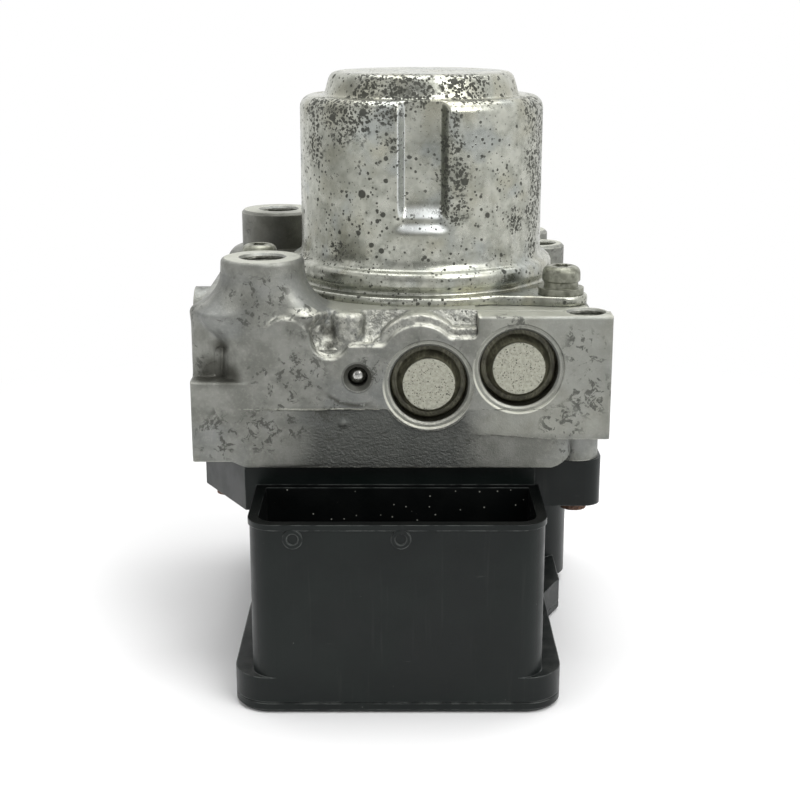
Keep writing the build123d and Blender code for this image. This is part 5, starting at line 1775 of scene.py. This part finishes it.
@dataclass
class Studio:
    """White floor, soft lamps and the camera."""

    eye: Triple = (-5.8, -412.5, 170.9)
    look_down: float = 15.0
    focal_pixels: float = 1490.0
    frame_pixels: float = 800.0
    sensor: float = 36.0
    # Each lamp's place and width in metres and its power in watts.
    lamps: tuple[tuple[str, Triple, float, float], ...] = (
        ("key_lamp", (0.60, -0.70, 0.95), 0.7, 8.0),
        ("fill_lamp", (-0.80, -0.50, 0.45), 0.8, 1.6),
        ("top_lamp", (0.05, 0.20, 1.0), 0.9, 8.0),
    )
    # What a mirror sees, by the way it looks, two cosines and the brightness at each: the room,
    # dimmer behind the camera, and a dark flag beside it that the can's left half mirrors.
    room: tuple[Triple, Pair, Pair] = ((0.55, 0.78, 0.30), (-0.85, 0.55), (0.42, 1.08))
    flag: tuple[Triple, Pair, Pair] = ((-0.86, -0.50, 0.05), (0.55, 0.90), (1.0, 0.5))
    matt_light: float = 0.5
    fade: Pair = (0.10, 0.32)  # distance in metres over which the floor fades to white
    floor_half: float = 3.0
    floor_drop: float = 0.0002
    aim: Triple = (0.0, 0.0, 0.08)

    def build(self) -> None:
        """Sets the world, the floor, the lamps and the camera."""
        self.world()
        self.floor()
        for lamp in self.lamps:
            self.lamp(*lamp)
        self.camera()
        bpy.context.scene.view_settings.view_transform = "Standard"

    def world(self) -> None:
        """White where it is seen; to a mirror, a white room with its dim sides."""
        world = bpy.data.worlds.new("studio_world")
        bpy.context.scene.world = world
        field = fresh(world)
        way = field.node("TexCoord", out="Generated")
        shades = []
        for middle, (low, high), (first, last) in (self.room, self.flag):
            links = {0: way, 1: middle}
            lean = field.node("VectorMath", links, out="Value", operation="DOT_PRODUCT")
            links = {"Value": lean, "From Min": low, "From Max": high}
            links |= {"To Min": first, "To Max": last}
            shades.append(field.node("MapRange", links, interpolation_type=Fade.SOFT.value))
        glossy = field.node("LightPath", out="Is Glossy Ray")
        lit = field.node("Mix", {0: glossy, 2: self.matt_light, 3: field.overlap(*shades)})
        strength = field.node("Mix", {0: self.seen(field), 2: lit, 3: 1.0})
        sky = field.node("Background", {"Color": "#FFFFFF", "Strength": strength})
        field.node("OutputWorld", {"Surface": sky})

    def seen(self, field: Field) -> object:
        """1 where the eye or a glass looks straight at the background."""
        eye = field.node("LightPath", out="Is Camera Ray")
        glass = field.node("LightPath", out="Is Transmission Ray")
        return field.union(eye, glass)

    def floor(self) -> None:
        """A pale floor that keeps the module's shadow and fades to white away from it."""
        paper = bpy.data.materials.new("white_paper")
        field = fresh(paper)
        away = field.node("VectorMath", {0: field.place}, out="Value", operation="LENGTH")
        links = {"Value": away, "From Min": self.fade[0], "From Max": self.fade[1]}
        far = field.node("MapRange", links, interpolation_type=Fade.SOFT.value)
        glossy = field.node("LightPath", out="Is Glossy Ray")
        share = field.overlap(far, field.union(self.seen(field), glossy))
        matt = field.node("BsdfDiffuse", {"Color": "#F6F6F6"})
        white = field.node("Emission", {"Color": "#FFFFFF"})
        both = field.node("MixShader", {0: share, 1: matt, 2: white})
        field.node("OutputMaterial", {"Surface": both})
        mesh = bmesh.new()
        bmesh.ops.create_grid(mesh, x_segments=8, y_segments=8, size=self.floor_half)
        made = placed("studio_floor", mesh_data("studio_floor", mesh, paper))
        made.location.z = -self.floor_drop

    def lamp(self, name: str, place: Triple, size: float, power: float) -> None:
        """A square soft box that faces the module.

        Args:
            name: The lamp's name.
            place: Where it stands, in metres.
            size: Its width in metres.
            power: Its power in watts.
        """
        data = bpy.data.lights.new(name, "AREA")
        data.size = size
        data.energy = power
        made = placed(name, data)
        made.location = place
        aim = Vector(self.aim) - Vector(place)
        made.rotation_euler = aim.to_track_quat("-Z", "Y").to_euler()

    def camera(self) -> None:
        """A camera level with the module's shoulders, looking a little down."""
        data = bpy.data.cameras.new("studio_camera")
        data.sensor_width = self.sensor
        data.lens = self.focal_pixels / self.frame_pixels * self.sensor
        data.clip_start = 0.01
        made = placed("studio_camera", data)
        made.location = Vector(self.eye) * MM
        made.rotation_euler = (math.radians(90 - self.look_down), 0.0, 0.0)
        bpy.context.scene.camera = made


def main() -> None:
    """Builds the module's sub-assemblies and the studio."""
    logging.basicConfig(level=logging.INFO, format="%(name)s: %(message)s")
    for part in (ControlUnit(), ValveBody(), Motor()):
        log.info("building the %s", type(part).__name__)
        part.build()
    Studio().build()


if __name__ == "__main__":
    main()
